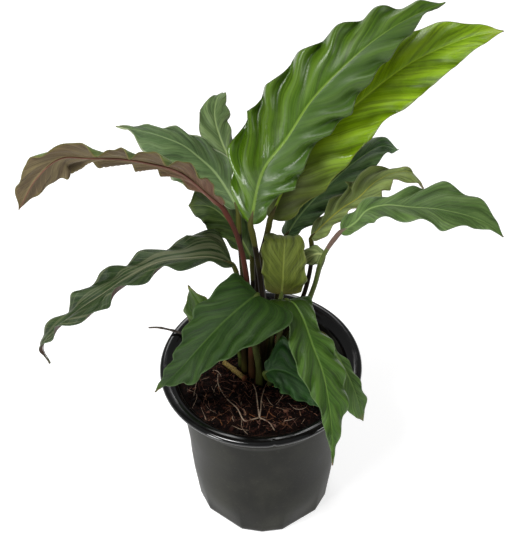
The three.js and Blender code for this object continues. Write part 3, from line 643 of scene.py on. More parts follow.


# %% [markdown]
# ## The skins of a leaf
# The upper side of a calathea's leaf is satin to glossy green, crossed by grey-green bands that
# follow its side veins, with a pale midrib and a thin light margin. The bands are paler on the
# crests of the quilting, partly in the leaf's own grey-green and partly as painted sheen, and the
# troughs and furrows between them are painted darker as shade. The underside is a velvety brown
# mauve. Both skins read the numbers noted on the points, so their veins follow the blade however
# it bends, and nothing depends on where the camera stands.

# %% Upper and lower skins
# Distances from vein to vein, in millimetres, and the depth that the bump shades, in metres.
FINE_VEINS = 1.15
RIB_PITCH = 6.0
RELIEF = 0.00016


def upper_skin(name, look):
    """Green with side-vein bands that are partly painted sheen, painted shade in the furrows, a pale
    midrib and a fine margin line.
    """
    skin = Finish(name, specular_ior_level=look["shine"])
    along = skin.value("along")
    across = skin.math("ABSOLUTE", skin.value("across"))
    lateral = skin.value("lateral")
    margin = skin.value("margin")
    vein = skin.value("vein")
    wave = skin.value("wave")

    signed = skin.value("across")
    flow = skin.node("CombineXYZ", {"X": wave, "Y": signed, "Z": look["seed"]})
    drift = skin.noise(skin.stretch(flow, 1.6, 1), 1.0, 2.0)
    streak = skin.noise(skin.stretch(flow, 11, 1), 1.0, 2.0)
    thread = skin.noise(skin.stretch(flow, 34, 0.8), 1.0, 2.0)
    stripe = skin.noise(skin.stretch(flow, 0.3, 8), 1.0, 2.0)
    mottle = skin.noise(skin.place(), 160, 3.0)
    phase = skin.math("ADD", wave, skin.math("MULTIPLY", drift, 0.8))
    crest = skin.math("PINGPONG", phase, 0.5)

    # Paler bands on the crests of the quilting: partly the leaf's own grey-green, partly painted sheen.
    band = skin.step(crest, 0.12, 0.46)
    fade = skin.math("MULTIPLY", band, skin.step(across, 0.02, 0.3))
    colour = skin.mix(skin.math("MULTIPLY", fade, look["bands"]), look["base"], look["band"])
    # Painted shade: the troughs between the crests are darkened towards the furrow green.
    valley_shade = skin.step(crest, 0.0, 0.13, 0.55, 0.0)
    colour = skin.mix(skin.math("MULTIPLY", valley_shade, skin.step(across, 0.1, 0.4)), colour, look["deep"])
    # Painted shade: darker streaks that run along the side veins.
    colour = skin.mix(skin.step(streak, 0.4, 0.7, 0.0, 0.6), colour, look["deep"])
    colour = skin.mix(skin.step(thread, 0.5, 0.75, 0.0, 0.4), colour, look["band"])
    colour = skin.mix(skin.step(stripe, 0.5, 0.6, 0.0, look["stripes"]), colour, look["rib"])
    colour = skin.mix(skin.step(mottle, 0.45, 0.8, 0.0, 0.2), colour, look["band"])

    side_vein = skin.step(skin.math("PINGPONG", vein, RIB_PITCH / 2), 0.0, 0.3, 0.22, 0.0)
    colour = skin.mix(side_vein, colour, look["rib"])

    # Painted shade: one half of the blade is made darker.
    if "half" in look:
        colour = skin.mix(skin.step(signed, -0.03, 0.03, 0.0, 0.55), colour, look["half"])
    # Painted shadow: the blade darkens towards its base, where other leaves shade it.
    if "shade" in look:
        end = look["shade_end"]
        shaded_base = skin.step(along, end - 0.22, end + 0.1, 0.85, 0.0)
        colour = skin.mix(shaded_base, colour, look["shade"])
    colour = skin.mix(skin.step(along, look["tip_from"], 1.0, 0.0, 0.85), colour, look["tip"])
    edge = skin.step(margin, 0.2, look["edge_width"], look["edge_share"], 0.0)
    colour = skin.mix(edge, colour, look["edge"])
    rib_width = skin.step(along, 0.0, 1.0, look["rib_width"], 0.35)
    from_rib = skin.math("DIVIDE", lateral, rib_width)
    on_rib = skin.step(from_rib, 0.45, 1.1, look["rib_share"], 0.0)
    paling = skin.step(along, 0.3, 1.0, 1.0, 0.4)
    colour = skin.mix(skin.math("MULTIPLY", on_rib, paling), colour, look["rib"])
    skin.colour(colour)

    base_wax, middle_wax, tip_wax = look["wax"]
    wax = skin.step(along, 0.2, 0.4, base_wax, middle_wax)
    wax = skin.math("ADD", wax, skin.step(along, 0.55, 0.75, 0.0, tip_wax - middle_wax))
    wax = skin.math("ADD", wax, skin.step(signed, -0.1, 0.2, 0.0, look["dull_side"]))
    wax = skin.math("ADD", wax, skin.step(skin.noise(flow, 2.3, 2.0), 0.35, 0.65, -0.04, 0.08))
    skin.put(skin.shader.inputs["Roughness"], wax)
    fine = skin.math("SINE", skin.math("MULTIPLY", vein, 2 * math.pi / FINE_VEINS))
    grain = skin.noise(skin.place(), 1300, 2.0)
    ripple = skin.noise(skin.stretch(flow, 24, 1.4), 1.0, 2.0)
    height = skin.math("ADD", skin.math("MULTIPLY", fine, 0.25), skin.math("MULTIPLY", grain, 0.6))
    height = skin.math("ADD", height, skin.math("MULTIPLY", ripple, 1.6))
    skin.bump(height, RELIEF, look["relief"])
    return skin.material


def lower_skin(name, look):
    """Velvety, with paler ribs: the midrib stands out and the side veins show as fine lines."""
    skin = Finish(name, roughness=0.55, specular_ior_level=0.25, sheen_weight=0.12, sheen_roughness=0.5)
    skin.put(skin.shader.inputs["Sheen Tint"], linear("e9d8cf"))
    along = skin.value("along")
    lateral = skin.value("lateral")
    margin = skin.value("margin")
    vein = skin.value("vein")
    flow = skin.node("CombineXYZ", {"X": skin.value("wave"), "Y": skin.value("across"), "Z": 2.0})
    broad = skin.noise(skin.stretch(flow, 2.2, 1), 1.0, 2.0)
    streak = skin.noise(skin.stretch(flow, 14, 0.8), 1.0, 2.0)
    colour = skin.mix(skin.step(broad, 0.35, 0.7), look["under"], look["under_band"])
    colour = skin.mix(skin.step(along, 0.05, 0.5, 0.7, 0.0), colour, look["under_base"])
    colour = skin.mix(skin.step(streak, 0.45, 0.7, 0.0, 0.6), colour, look["under_deep"])
    ridge = skin.math("PINGPONG", vein, RIB_PITCH / 2)
    colour = skin.mix(skin.step(ridge, 0.0, 0.45, 0.45, 0.0), colour, look["under_rib"])
    colour = skin.mix(skin.step(lateral, 0.5, 1.2, 0.6, 0.0), colour, look["under_rib"])
    colour = skin.mix(skin.step(along, 0.88, 1.0, 0.0, 0.5), colour, look["under_tip"])
    colour = skin.mix(skin.step(margin, 0.3, 1.1, 0.7, 0.0), colour, look["under_edge"])
    skin.colour(colour)
    fine = skin.math("SINE", skin.math("MULTIPLY", vein, 2 * math.pi / FINE_VEINS))
    pile = skin.noise(skin.place(), 2400, 2.0)
    skin.bump(skin.math("ADD", skin.math("MULTIPLY", fine, 0.5), pile), RELIEF, 0.8)
    return skin.material


# %% [markdown]
# The leaves of one plant differ: the tallest are fresh and glossy, the lime one is new, the low ones
# are dark and velvety, and a few have dried a little at the tip. Each leaf has one green of its own.
# Its bands and midrib are that green made paler, the bands partly as painted sheen, and its furrows
# are it made darker as painted shade, so all of them share the same two recipes. A few leaves also
# carry painted shade over one half of the blade or towards its base.

# %% The look of each leaf
# Bands paler partly as painted sheen; midrib paler in its own colour; furrows darker as painted shade.
BAND_PALER = (40, 38, 30)
RIB_TO_BAND = 1.5
FURROW_SHADE_DARKER = 0.55


def greens(green, contrast=1.0, **own):
    """The greens of one leaf, as hex colours, and what is its own beside them."""
    parts = bytes.fromhex(green)

    def paler(amount):
        return bytes(min(255, round(part + step * amount)) for part, step in zip(parts, BAND_PALER)).hex()

    # The furrows' painted shade: the leaf's green made darker.
    deep = bytes(round(part * FURROW_SHADE_DARKER) for part in parts).hex()
    rib = paler(contrast * RIB_TO_BAND)
    return dict(base=green, band=paler(contrast), deep=deep, rib=rib, tip=green) | own


USUAL = dict(shine=0.22, bands=0.4, stripes=0.0, tip_from=0.9, edge_width=0.8, edge_share=0.6,
             rib_width=1.0, rib_share=0.8, wax=(0.42, 0.42, 0.42), dull_side=0.0, relief=0.8)
UNDERSIDE = dict(under_base="5a4238", under="5a463a", under_band="6e584c", under_deep="463428",
                 under_rib="84685c", under_tip="5c4430", under_edge="6a5436")
# Some looks add a colour of painted shade over one half of the blade or towards its base.
LOOKS = {
    "tall_front": greens("3a5a06", 0.85, half="38541e", edge="3a4618", shine=0.38, relief=0.25, bands=0.55,
                         seed=1.3, rib_width=1.2, rib_share=0.85, wax=(0.15, 0.34, 0.42), dull_side=0.14),
    "tall_lime": greens("749a06", 1.1, tip="90a420", edge="6f7428", shine=0.36, relief=0.25, bands=0.5,
                        seed=2.1, shade="2c2a04", shade_end=0.34, rib_share=0.6, wax=(0.65, 0.17, 0.3)),
    "back_left": greens("587040", 1.15, tip="626c3c", edge="50523a", seed=3.7, wax=(0.45, 0.45, 0.45)),
    "left_broad": greens("4a6238", tip="5e6032", edge="a4ac8c", seed=4.9, edge_width=1.2),
    "left_arch": greens("52642c", 1.1, tip="6a4c30", edge="6c5a38", seed=5.3, wax=(0.45, 0.45, 0.45),
                        under="54462e", under_band="6e6240", under_deep="322616", under_rib="887854",
                        under_tip="503c18", under_edge="5a5220", under_base="5e3228"),
    "left_behind": greens("283c10", 1.1, tip="424c16", edge="2c3c26", seed=6.1, wax=(0.4, 0.4, 0.4)),
    "left_low": greens("203414", tip="44301e", rib="787a5c", edge="44543a", tip_from=0.86, stripes=0.45,
                       seed=7.7, wax=(0.4, 0.4, 0.4), under="3a2a22", under_band="46342c",
                       under_deep="281c16", under_rib="58463c", under_edge="3c2e20", under_base="3a2a22"),
    "front_left": greens("1a3604", 0.7, tip="465608", edge="4c6438", seed=8.2, edge_width=1.0,
                         edge_share=0.4, rib_share=0.6, wax=(0.5, 0.5, 0.5)),
    "front_right": greens("325212", 0.8, tip="3a5a10", edge="5e7448", tip_from=0.84, seed=9.4,
                          shade="1a2c06", shade_end=0.2, edge_share=0.5, wax=(0.4, 0.4, 0.4)),
    "right_low": greens("4c6e2e", 0.9, tip="7c7048", edge="546840", seed=10.6, wax=(0.45, 0.45, 0.45)),
    "front_small": greens("0e3406", 0.6, tip="1c4212", edge="4e6a42", seed=11.8, stripes=0.3,
                          edge_share=0.5, wax=(0.38, 0.38, 0.38)),
    "left_tip": greens("2c4a06", tip="6e6e0c", edge="72723a", seed=12.5, wax=(0.45, 0.45, 0.45)),
    "right_long": greens("48642e", tip="42661c", edge="66765a", seed=13.1),
    "right_olive": greens("6a7c3e", 1.1, tip="8c7a50", rib="a0a03c", edge="6c6c44", seed=14.9,
                          wax=(0.5, 0.5, 0.5), under="806c58", under_band="98886e", under_rib="a48e78",
                          under_tip="846052", under_base="806c58"),
    "right_behind": greens("385a2a", 1.4, tip="588244", edge="384a34", seed=15.5, wax=(0.38, 0.38, 0.38)),
    "young_centre": greens("4e5a18", 0.65, tip="647026", edge="707646", seed=16.3, bands=0.3, stripes=0.18,
                           shade="463a0c", shade_end=0.12, wax=(0.55, 0.55, 0.55)),
    "right_flap": greens("7e8e54", 1.2, deep="324e20", edge="3a5428", seed=17.2, wax=(0.5, 0.5, 0.5)),
}

for name, leaf in LEAVES.items():
    look = USUAL | UNDERSIDE | LOOKS[name]
    make_blade(name, leaf, [upper_skin("upper " + name, look), lower_skin("lower " + name, look)])
print(len(LEAVES), "blades")

# %% [markdown]
# ## Stalks
# Each stalk comes out of the soil inside the old sheaths of the crown, runs up as a slim hairy rod
# and ends in a short swollen joint just under the blade, which is olive where the rod is dark red.
# From there it goes on under the blade as the midrib, and thins to nothing at the tip. A tube along
# the two lines together keeps that change seamless, where two pieces would show a step.

# %% Stalks and midribs
SOIL_TOP = 122
SUNK = 8
SHEATH_LENGTH = 45
SHEATH = 1.28
JOINT_LENGTH = 16
STALK_SIDES = 10
RING_LENGTH = 2
ROD_POINTS = 21
SPINE_POINTS = 31
JOINT_SWELL = 0.2
JOINT_PLACE = 0.96
SWELL_LENGTH = 7
RIB_STEP = 0.35
RIB_TAPER = 0.78


def stalk_skin(name, foot, rod, joint, rib):
    """Colours from foot to neck, with fine lengthwise streaks. Climb is 1 at the joint's start."""
    skin = Finish(name, roughness=0.5, specular_ior_level=0.08)
    climb = skin.value("climb")
    streak = skin.noise(skin.place((1400, 1400, 60)), 1.0, 3.0)
    blotch = skin.noise(skin.place((160, 160, 50)), 1.0, 2.0)
    colour = skin.mix(skin.step(climb, 0.05, 0.45), foot, rod)
    colour = skin.mix(skin.step(streak, 0.35, 0.75, 0.0, 0.5), colour, foot)
    colour = skin.mix(skin.step(blotch, 0.45, 0.75, 0.0, 0.4), colour, joint)
    colour = skin.mix(skin.step(climb, 0.99, 1.01), colour, joint)
    colour = skin.mix(skin.step(climb, 2.0, 2.2), colour, rib)
    skin.colour(colour)
    skin.bump(streak, 0.0002, 0.6)
    return skin.material


DARK_STALK = stalk_skin("dark stalk", "2c270f", "170e08", "45461a", "4d4230")
ARCH_STALK = stalk_skin("red-brown stalk", "2e2210", "43201a", "4c261c", "6d4c40")
GREEN_STALK = stalk_skin("green stalk", "28280e", "33381b", "465222", "4a5832")
PALE_STALK = stalk_skin("pale stalk", "2f2f0f", "54652f", "66544a", "5d6c4e")
STALK_SKINS = {"left_arch": ARCH_STALK, "right_long": PALE_STALK} | dict.fromkeys(
    ("front_left", "front_right", "front_small", "left_tip", "young_centre", "right_flap"), GREEN_STALK
)


def rib_radius(leaf, t):
    """The midrib thins from the joint to the tip."""
    return leaf["radius"][1] * (1 - RIB_STEP * smooth(9 * t)) * (1 - RIB_TAPER * t)


def make_stalk(name, leaf, skin):
    """One tube: sheath, rod, joint and midrib. Returns its line, for the hairs to grow from."""
    x, y, _ = leaf["stalk"][0]
    rod = Line([(x, y, SOIL_TOP - SUNK), (x, y, SOIL_TOP), *leaf["stalk"]])
    spine = Line(leaf["spine"])
    t = np.linspace(0, 1, SPINE_POINTS)
    face, _ = facing(leaf, spine, t)
    depth = smooth(t / SMOOTH_END) * (BLADE_THICKNESS / 2 + GROOVE + 0.7 * rib_radius(leaf, t))
    lower = rod.at(np.linspace(0, 1, ROD_POINTS))[:-1]
    path = np.vstack([lower, spine.at(t) - face * depth[:, None]])
    whole = Line(path)
    neck_share = rod.length / whole.length
    foot, neck = leaf["radius"]

    def radius(share):
        climb = np.clip(share / neck_share, 0, 1)
        sheath = 1 + (SHEATH - 1) * smooth(1 - share * whole.length / SHEATH_LENGTH)
        swell = 1 + JOINT_SWELL * np.exp(-(((climb - JOINT_PLACE) * rod.length / SWELL_LENGTH) ** 2))
        past = np.clip((share - neck_share) / (1 - neck_share), 0, 1)
        on_rod = (foot + (neck - foot) * climb) * sheath * swell
        on_rib = rib_radius(leaf, past) * (1 + JOINT_SWELL * np.exp(-past * 30))
        return np.where(share < neck_share, on_rod, on_rib)

    bm = bmesh.new()
    layer = bm.verts.layers.float.new("climb")
    verts = tube(bm, path, radius, STALK_SIDES, round(whole.length / RING_LENGTH))
    noted = bm.verts.layers.float.get("along")
    joint_share = neck_share - JOINT_LENGTH / whole.length
    for vert in verts:
        share = vert[noted]
        vert[layer] = share / joint_share
        if share > neck_share:
            vert[layer] = 2 + 5 * (share - neck_share)
    linked("stem_" + name, welded(bm), [skin], ["stalk_" + name])
    return whole, radius, neck_share


stalks = [make_stalk(name, leaf, STALK_SKINS.get(name, DARK_STALK)) for name, leaf in LEAVES.items()]
print(len(stalks), "stalks")

# %% [markdown]
# The stalks of this kind of calathea are bearded with short soft hairs. They are far finer than the
# camera can resolve, but against a bright ground they soften the outline. Particle hair would be
# lost in an export, so each hair is a three-sided spike, and they all share one small mesh.

# %% Hairs
HAIR_LENGTH = (0.4, 1.0)
HAIR_RADIUS = 0.03
HAIRS_PER_MM = 1.0
HAIR_LEAN = (-0.1, 0.6)
HAIR_SEED = 7
BARE_FOOT = 12

hair_skin = Finish("hair", base_color=linear("6a5a42"), roughness=0.7)
draw = random.Random(HAIR_SEED)
hairs = bmesh.new()
for whole, radius, neck_share in stalks:
    first = SUNK + BARE_FOOT
    last = neck_share * whole.length
    count = round((last - first) * HAIRS_PER_MM)
    shares = np.array([draw.uniform(first, last) / whole.length for _ in range(count)])
    middles = whole.at(shares)
    ways = whole.along(shares)
    for middle, way, size in zip(middles, ways, radius(shares)):
        turn = draw.uniform(0, 2 * math.pi)
        way = Vector(way)
        side = Matrix.Rotation(turn, 3, way) @ way.orthogonal().normalized()
        out = (side + way * draw.uniform(*HAIR_LEAN)).normalized()
        length = draw.uniform(*HAIR_LENGTH)
        root = Vector(middle) + side * size * 0.95
        turned_out = out.to_track_quat("Z", "Y").to_matrix().to_4x4()
        spot = Matrix.Translation((root + out * length / 2) * MM) @ turned_out
        bmesh.ops.create_cone(
            hairs, cap_ends=False, segments=3, radius1=HAIR_RADIUS * MM, radius2=0.0,
            depth=length * MM, matrix=spot,
        )
print(len(hairs.verts) // 6, "hairs")
linked("stalk_hairs", hairs, [hair_skin.material])

# %% [markdown]
# ## The pot
# A nursery pot is blown or moulded in thin black plastic: a wall that widens in two slopes to a
# collar, a rolled lip, and a foot with a ring of wide and narrow flats. It is a turned shape, so a
# profile spun round the axis makes it, and only the foot's flats, the small moulding notch in the
# lip and the drain holes have to be added.

# %% Pot
POT_HEIGHT = 135
RIM_RADIUS = 70
WALL = 2.2
FLOOR = 3
BASE_RADIUS = 48.5
WALL_MID_RADIUS = 52.8
WALL_TOP_RADIUS = 58.4
WALL_LINE = 126.5
COLLAR_LEVEL = 115
COLLAR_RADIUS = 59.6
FOOT_FLATS = (36, 18, 18)
FOOT_TURN = 15
FOOT_HEIGHT = 30
DRAIN_HOLES = 6
DRAIN_RADIUS = 4
DRAIN_CIRCLE = 34
POT_STEPS = 240
WALL_LEVELS = (FLOOR, 6, 9, 14, 20, 26, 32, 48, 64, 80, 96, 110, COLLAR_LEVEL)
UNDERSIDE_RISE = 0.5
RING = (43, 47.4)


def wall_radius(z):
    """The outside of the wall: curved below, and straight from half height to the collar."""
    middle = WALL_LINE / 2
    if z > middle:
        return WALL_MID_RADIUS + (WALL_TOP_RADIUS - WALL_MID_RADIUS) * (z - middle) / middle
    return BASE_RADIUS + (WALL_MID_RADIUS - BASE_RADIUS) * math.sin(z / middle * math.pi / 2)


def turned(bm, profile, steps):
    """Spins a profile of (radius, height) points in millimetres round the axis."""
    verts = [bm.verts.new((radius * MM, 0, z * MM)) for radius, z in profile]
    edges = [bm.edges.new(pair) for pair in zip(verts, verts[1:])]
    bmesh.ops.spin(
        bm, geom=verts + edges, cent=(0, 0, 0), axis=(0, 0, 1), angle=2 * math.pi, steps=steps,
        use_merge=True,
    )
    return welded(bm)


def foot_share(turn):
    """How far out the foot's outline lies at an angle in degrees, as a share of its corners."""
    past = (turn - FOOT_TURN) % sum(FOOT_FLATS)
    for flat in FOOT_FLATS:
        if past <= flat:
            return math.cos(math.radians(flat / 2)) / math.cos(math.radians(past - flat / 2))
        past -= flat
    return 1


def facet_foot(bm):
    """Presses the flats into the foot. They fade out higher up the wall."""
    for vert in bm.verts:
        x, y, z = vert.co
        amount = 1 - float(smooth(z / (FOOT_HEIGHT * MM)))
        scale = 1 + amount * (foot_share(math.degrees(math.atan2(x, -y))) - 1)
        vert.co = (x * scale, y * scale, z)


# The rolled lip, from its underside round the outside and over the top into the mouth: how far in
# from the rim's edge, and how far below its top. Then the collar, outside and inside: how far out
# from its radius, and how far above its foot.
LIP = [(9.8, 6.4), (8.8, 4.9), (6, 4.5), (2.2, 4.6), (0.6, 3.7), (0, 2.1), (0.8, 0.6), (2.4, 0),
       (6, 0.4), (9.2, 2.6), (11.4, 5.8)]
LIP_STEPS = 40
COLLAR = [(-1.3, 0.3), (-0.4, 0.8), (0, 1.6), (0.1, 3), (0.3, 7.5), (0.5, 12)]
COLLAR_INSIDE = [(-1.6, 12.4), (-2, 6), (-2.2, 1.5), (-3, 0.4)]


def lip_profile():
    """The lip's points, rounded by a smooth line through them."""
    line = Line([(RIM_RADIUS - inward, 0, POT_HEIGHT - down) for inward, down in LIP])
    return [(p[0], p[2]) for p in line.at(np.linspace(0, 1, LIP_STEPS))]


def by_collar(points):
    return [(COLLAR_RADIUS + out, COLLAR_LEVEL + above) for out, above in points]


outside = [(radius, UNDERSIDE_RISE) for radius in (0, 20, RING[0] - 1)]
outside += [(radius, 0) for radius in RING] + [(BASE_RADIUS - 0.3, UNDERSIDE_RISE)]
outside += [(wall_radius(z), z) for z in WALL_LEVELS]
inside = by_collar(COLLAR_INSIDE)
inside += [(wall_radius(z) - WALL, z) for z in reversed(WALL_LEVELS[1:])] + [(0, FLOOR)]
pot = bmesh.new()
turned(pot, outside + by_collar(COLLAR) + lip_profile() + inside, POT_STEPS)
facet_foot(pot)

# The notch that the mould leaves in the lip: its place from the front, width, depth and reach.
NOTCH = math.radians(6)
NOTCH_WIDTH = 0.018
NOTCH_DEPTH = 0.9
NOTCH_FROM = 66
for vert in pot.verts:
    radius = math.hypot(vert.co.x, vert.co.y) / MM
    from_notch = (math.atan2(vert.co.x, -vert.co.y) - NOTCH) / NOTCH_WIDTH
    if radius > NOTCH_FROM:
        dent = NOTCH_DEPTH * math.exp(-(from_notch**2))
        vert.co.x *= 1 - dent / radius
        vert.co.y *= 1 - dent / radius


def pot_skin():
    """Satin black plastic with a fine moulded grain and faint dust on the wall."""
    skin = Finish("black nursery plastic", specular_ior_level=0.04)
    z = skin.node("SeparateXYZ", {"Vector": skin.place()}, 2)
    cloud = skin.noise(skin.place((1, 1, 0.7)), 38, 4.0, 0.6)
    speck = skin.noise(skin.place(), 420, 3.0)
    dust = skin.math("MULTIPLY", skin.step(cloud, 0.35, 0.75), skin.step(z, 0.0, 0.05, 1.0, 0.6))
    colour = skin.mix(skin.math("MULTIPLY", dust, 0.55), "232320", "42423a")
    skin.colour(skin.mix(skin.step(speck, 0.6, 0.76, 0.0, 0.16), colour, "56544a"))
    skin.put(skin.shader.inputs["Roughness"], skin.step(cloud, 0.3, 0.7, 0.33, 0.42))
    skin.bump(skin.noise(skin.place(), 1800, 2.0), 0.00008, 0.4)
    return skin.material


def lip_skin():
    """The same plastic, left glossy by the mould on the rolled lip."""
    skin = Finish("glossy black lip", base_color=linear("0a0b0b"), specular_ior_level=0.5)
    scuff = skin.noise(skin.place(), 90, 3.0)
    skin.put(skin.shader.inputs["Roughness"], skin.step(scuff, 0.4, 0.75, 0.1, 0.2))
    return skin.material


LIP_LEVEL = 129.5
CUTTER_LENGTH = 20
for face in pot.faces:
    face.material_index = int(face.calc_center_median().z > LIP_LEVEL * MM)
pot_piece = linked("nursery_pot", pot, [pot_skin(), lip_skin()], ["pot"])
cutters = bmesh.new()
for i in range(DRAIN_HOLES):
    turn = 2 * math.pi * i / DRAIN_HOLES
    middle = Vector((math.sin(turn), -math.cos(turn), 0)) * DRAIN_CIRCLE
    bmesh.ops.create_cone(
        cutters, cap_ends=True, segments=24, radius1=DRAIN_RADIUS * MM, radius2=DRAIN_RADIUS * MM,
        depth=CUTTER_LENGTH * MM, matrix=Matrix.Translation(middle * MM),
    )
cutter = placed("drain_cutters", cutters)
drill = pot_piece.modifiers.new("drain holes", "BOOLEAN")
drill.object = cutter
drill.operation = "DIFFERENCE"
drill.solver = "EXACT"
cut = bpy.data.meshes.new_from_object(pot_piece.evaluated_get(bpy.context.evaluated_depsgraph_get()))
pot_piece.modifiers.clear()
pot_piece.data = cut
bpy.data.objects.remove(cutter)
print("pot faces", len(cut.polygons))

# %% [markdown]
# ## The soil
# The plant sits in dark peat mixed with coconut fibre and bark. From a step away it reads as a
# rough dark surface full of red-brown threads and chips. A texture alone would look flat when seen
# from the side, so the soil's body is turned like the pot and made uneven, and then covered with
# real chips and threads, placed by a seeded rule.

# %% Body of soil
SEAT = 0.3
SOIL_MOUND = 2.4
MOUND_SPREAD = 20
COARSE_CRUMB = 1.2
FINE_CRUMB = 0.9
SOIL_RINGS = 84


def soil_height(x, y):
    """Height of the soil in millimetres: soft lumps and a low mound round the crown."""
    soft = math.sin(x * 0.13 + 1) * math.cos(y * 0.11) + 0.6 * math.sin((x + y) * 0.23)
    mound = SOIL_MOUND * math.exp(-(x * x + y * y) / MOUND_SPREAD**2)
    return SOIL_TOP + soft + mound


def crumbs(x, y):
    """Fine unevenness of the loose top layer."""
    coarse = noise.fractal(Vector((x, y, 0)) * 0.16, 1.0, 2.0, 3)
    fine = noise.fractal(Vector((x, y, 9)) * 0.55, 0.9, 2.0, 3)
    return COARSE_CRUMB * coarse + FINE_CRUMB * fine


soil_edge = COLLAR_RADIUS - WALL - 0.4
soil_levels = (FLOOR + SEAT, 14, 32, 64, 96, COLLAR_LEVEL)
profile = [(0, FLOOR + SEAT)] + [(wall_radius(z) - WALL - SEAT, z) for z in soil_levels]
profile += [(soil_edge * share, SOIL_TOP) for share in np.linspace(1, 0, SOIL_RINGS) ** 0.8]
soil = bmesh.new()
turned(soil, profile, POT_STEPS)
facet_foot(soil)
for vert in soil.verts:
    x, y, z = vert.co / MM
    if z > SOIL_TOP - 1:
        vert.co.z = (soil_height(x, y) + crumbs(x, y)) * MM


def soil_skin():
    """Damp peat: brown and rust-coloured on its crumbs, and painted nearly black as shade in its hollows.
    """
    skin = Finish("damp peat", roughness=0.85, specular_ior_level=0.1)
    clump = skin.noise(skin.place(), 260, 4.0, 0.65)
    fleck = skin.noise(skin.place((1, 1.6, 1)), 900, 3.0, 0.7)
    # Painted shade: the peat turns nearly black where the clump noise is low, where the bump sinks into
    # hollows.
    colour = skin.mix(skin.step(clump, 0.4, 0.66), "030101", "140a06")
    skin.colour(skin.mix(skin.step(fleck, 0.56, 0.68, 0.0, 0.9), colour, "4a2a20"))
    skin.bump(skin.math("ADD", clump, fleck), 0.0009, 0.9)
    return skin.material


linked("soil_body", soil, [soil_skin()], ["soil"])

# %% Chips and crumbs
# Each chip is a small cube, pulled out of square and laid flat, so it has only a few faces.
CHIPS = 760
CHIP_SEED = 21
CHIP_MARGIN = 2.5
CHIP_LENGTHS = (1.0, 1.5, 2.2, 3.2)
tones = Finish("bark and fibre", roughness=0.8, specular_ior_level=0.12)
ramp = tones.tree.nodes.new("ShaderNodeValToRGB")
tones.put(ramp.inputs[0], tones.value("tone"))
stops = [(0.0, "050202"), (0.3, "160906"), (0.5, "40221a"), (0.7, "74503f"), (0.85, "9a7464"),
         (0.94, "a8693a"), (1.0, "c9b39b")]
ramp.color_ramp.elements[0].color = linear(stops[0][1])
ramp.color_ramp.elements[1].color = linear(stops[-1][1])
for place, code in stops[1:-1]:
    ramp.color_ramp.elements.new(place).color = linear(code)
fibre_grain = tones.noise(tones.place((1, 1, 3)), 1200, 2.0)
tones.colour(tones.mix(tones.step(fibre_grain, 0.3, 0.7, 0.0, 0.35), ramp.outputs[0], "140a07"))
tones.bump(fibre_grain, 0.0003, 0.6)


def note_tone(bm, verts, value):
    layer = bm.verts.layers.float.get("tone") or bm.verts.layers.float.new("tone")
    for vert in verts:
        vert[layer] = value


def soil_spot(draw, reach):
    """A random place on the soil's surface, in millimetres."""
    turn = draw.uniform(0, 2 * math.pi)
    radius = reach * math.sqrt(draw.random())
    return math.cos(turn) * radius, math.sin(turn) * radius


draw = random.Random(CHIP_SEED)
chips = bmesh.new()
chips.verts.layers.float.new("tone")
for _ in range(CHIPS):
    x, y = soil_spot(draw, soil_edge - CHIP_MARGIN)
    length = draw.choice(CHIP_LENGTHS) * draw.uniform(0.7, 1.2)
    size = Vector((length, length * draw.uniform(0.3, 0.8), length * draw.uniform(0.15, 0.45)))
    lean = Matrix.Rotation(draw.uniform(-0.5, 0.5), 4, "X")
    lean = lean @ Matrix.Rotation(draw.uniform(-0.5, 0.5), 4, "Y")
    spin = Matrix.Rotation(draw.uniform(0, 2 * math.pi), 4, "Z")
    height = soil_height(x, y) + crumbs(x, y) + size.z * 0.35
    place = Matrix.Translation(Vector((x, y, height)) * MM)
    spot = place @ spin @ lean @ Matrix.Diagonal((*size * MM, 1))
    made = bmesh.ops.create_cube(chips, size=1, matrix=spot)["verts"]
    for vert in made:
        push = Vector([draw.uniform(-1, 1) for _ in range(3)])
        vert.co += push * length * 0.13 * MM
    note_tone(chips, made, draw.betavariate(1.3, 3.0))
linked("soil_chips", chips, [tones.material])

# %% [markdown]
# Coconut fibre lies in short curved threads, and the plant's own pale feeding roots run over it.
# Both are thin tubes along smooth lines. The threads are drawn by a seeded rule. The four larger
# roots part from one knot between the crown and the rim, and follow the lines of the real ones.

# %% Threads
THREADS = 1100
THREAD_SEED = 33
THREAD_MARGIN = 8
WALL_MARGIN = 0.8
PALE_SHARE = 0.07
THIN_END = 0.35


def on_soil(points, lift=0.5):
    """Lays a flat line of (x, y) points, or (x, y, lift), on the soil's surface."""
    laid = []
    for point in points:
        x, y = point[:2]
        above = point[2] if len(point) > 2 else lift
        laid.append((x, y, soil_height(x, y) + crumbs(x, y) * 0.5 + above))
    return laid


def thin(size):
    """A radius that tapers towards both ends."""
    swell = 1 - THIN_END
    return lambda share: size * (THIN_END + swell * np.sin(np.pi * np.clip(share, 0.02, 0.98)) ** 0.5)


draw = random.Random(THREAD_SEED)
threads = bmesh.new()
threads.verts.layers.float.new("tone")
for _ in range(THREADS):
    x, y = soil_spot(draw, soil_edge - THREAD_MARGIN)
    way = draw.uniform(0, 2 * math.pi)
    bend = draw.uniform(-0.3, 0.3)
    stride = draw.uniform(0.9, 3.4)
    points = []
    for k in range(5):
        points.append((x, y, draw.uniform(0.0, 1.1) if k in (1, 2, 3) else -0.3))
        x += math.cos(way) * stride
        y += math.sin(way) * stride
        way += bend + draw.uniform(-0.3, 0.3)
    if all(math.hypot(x, y) < soil_edge - WALL_MARGIN for x, y, _ in points):
        made = tube(threads, on_soil(points), thin(draw.uniform(0.08, 0.22)), 4, 9)
        pale = draw.random() < PALE_SHARE
        note_tone(threads, made, draw.uniform(0.93, 1) if pale else draw.betavariate(1.8, 1.8))
linked("soil_threads", welded(threads, FINE_WELD), [tones.material])

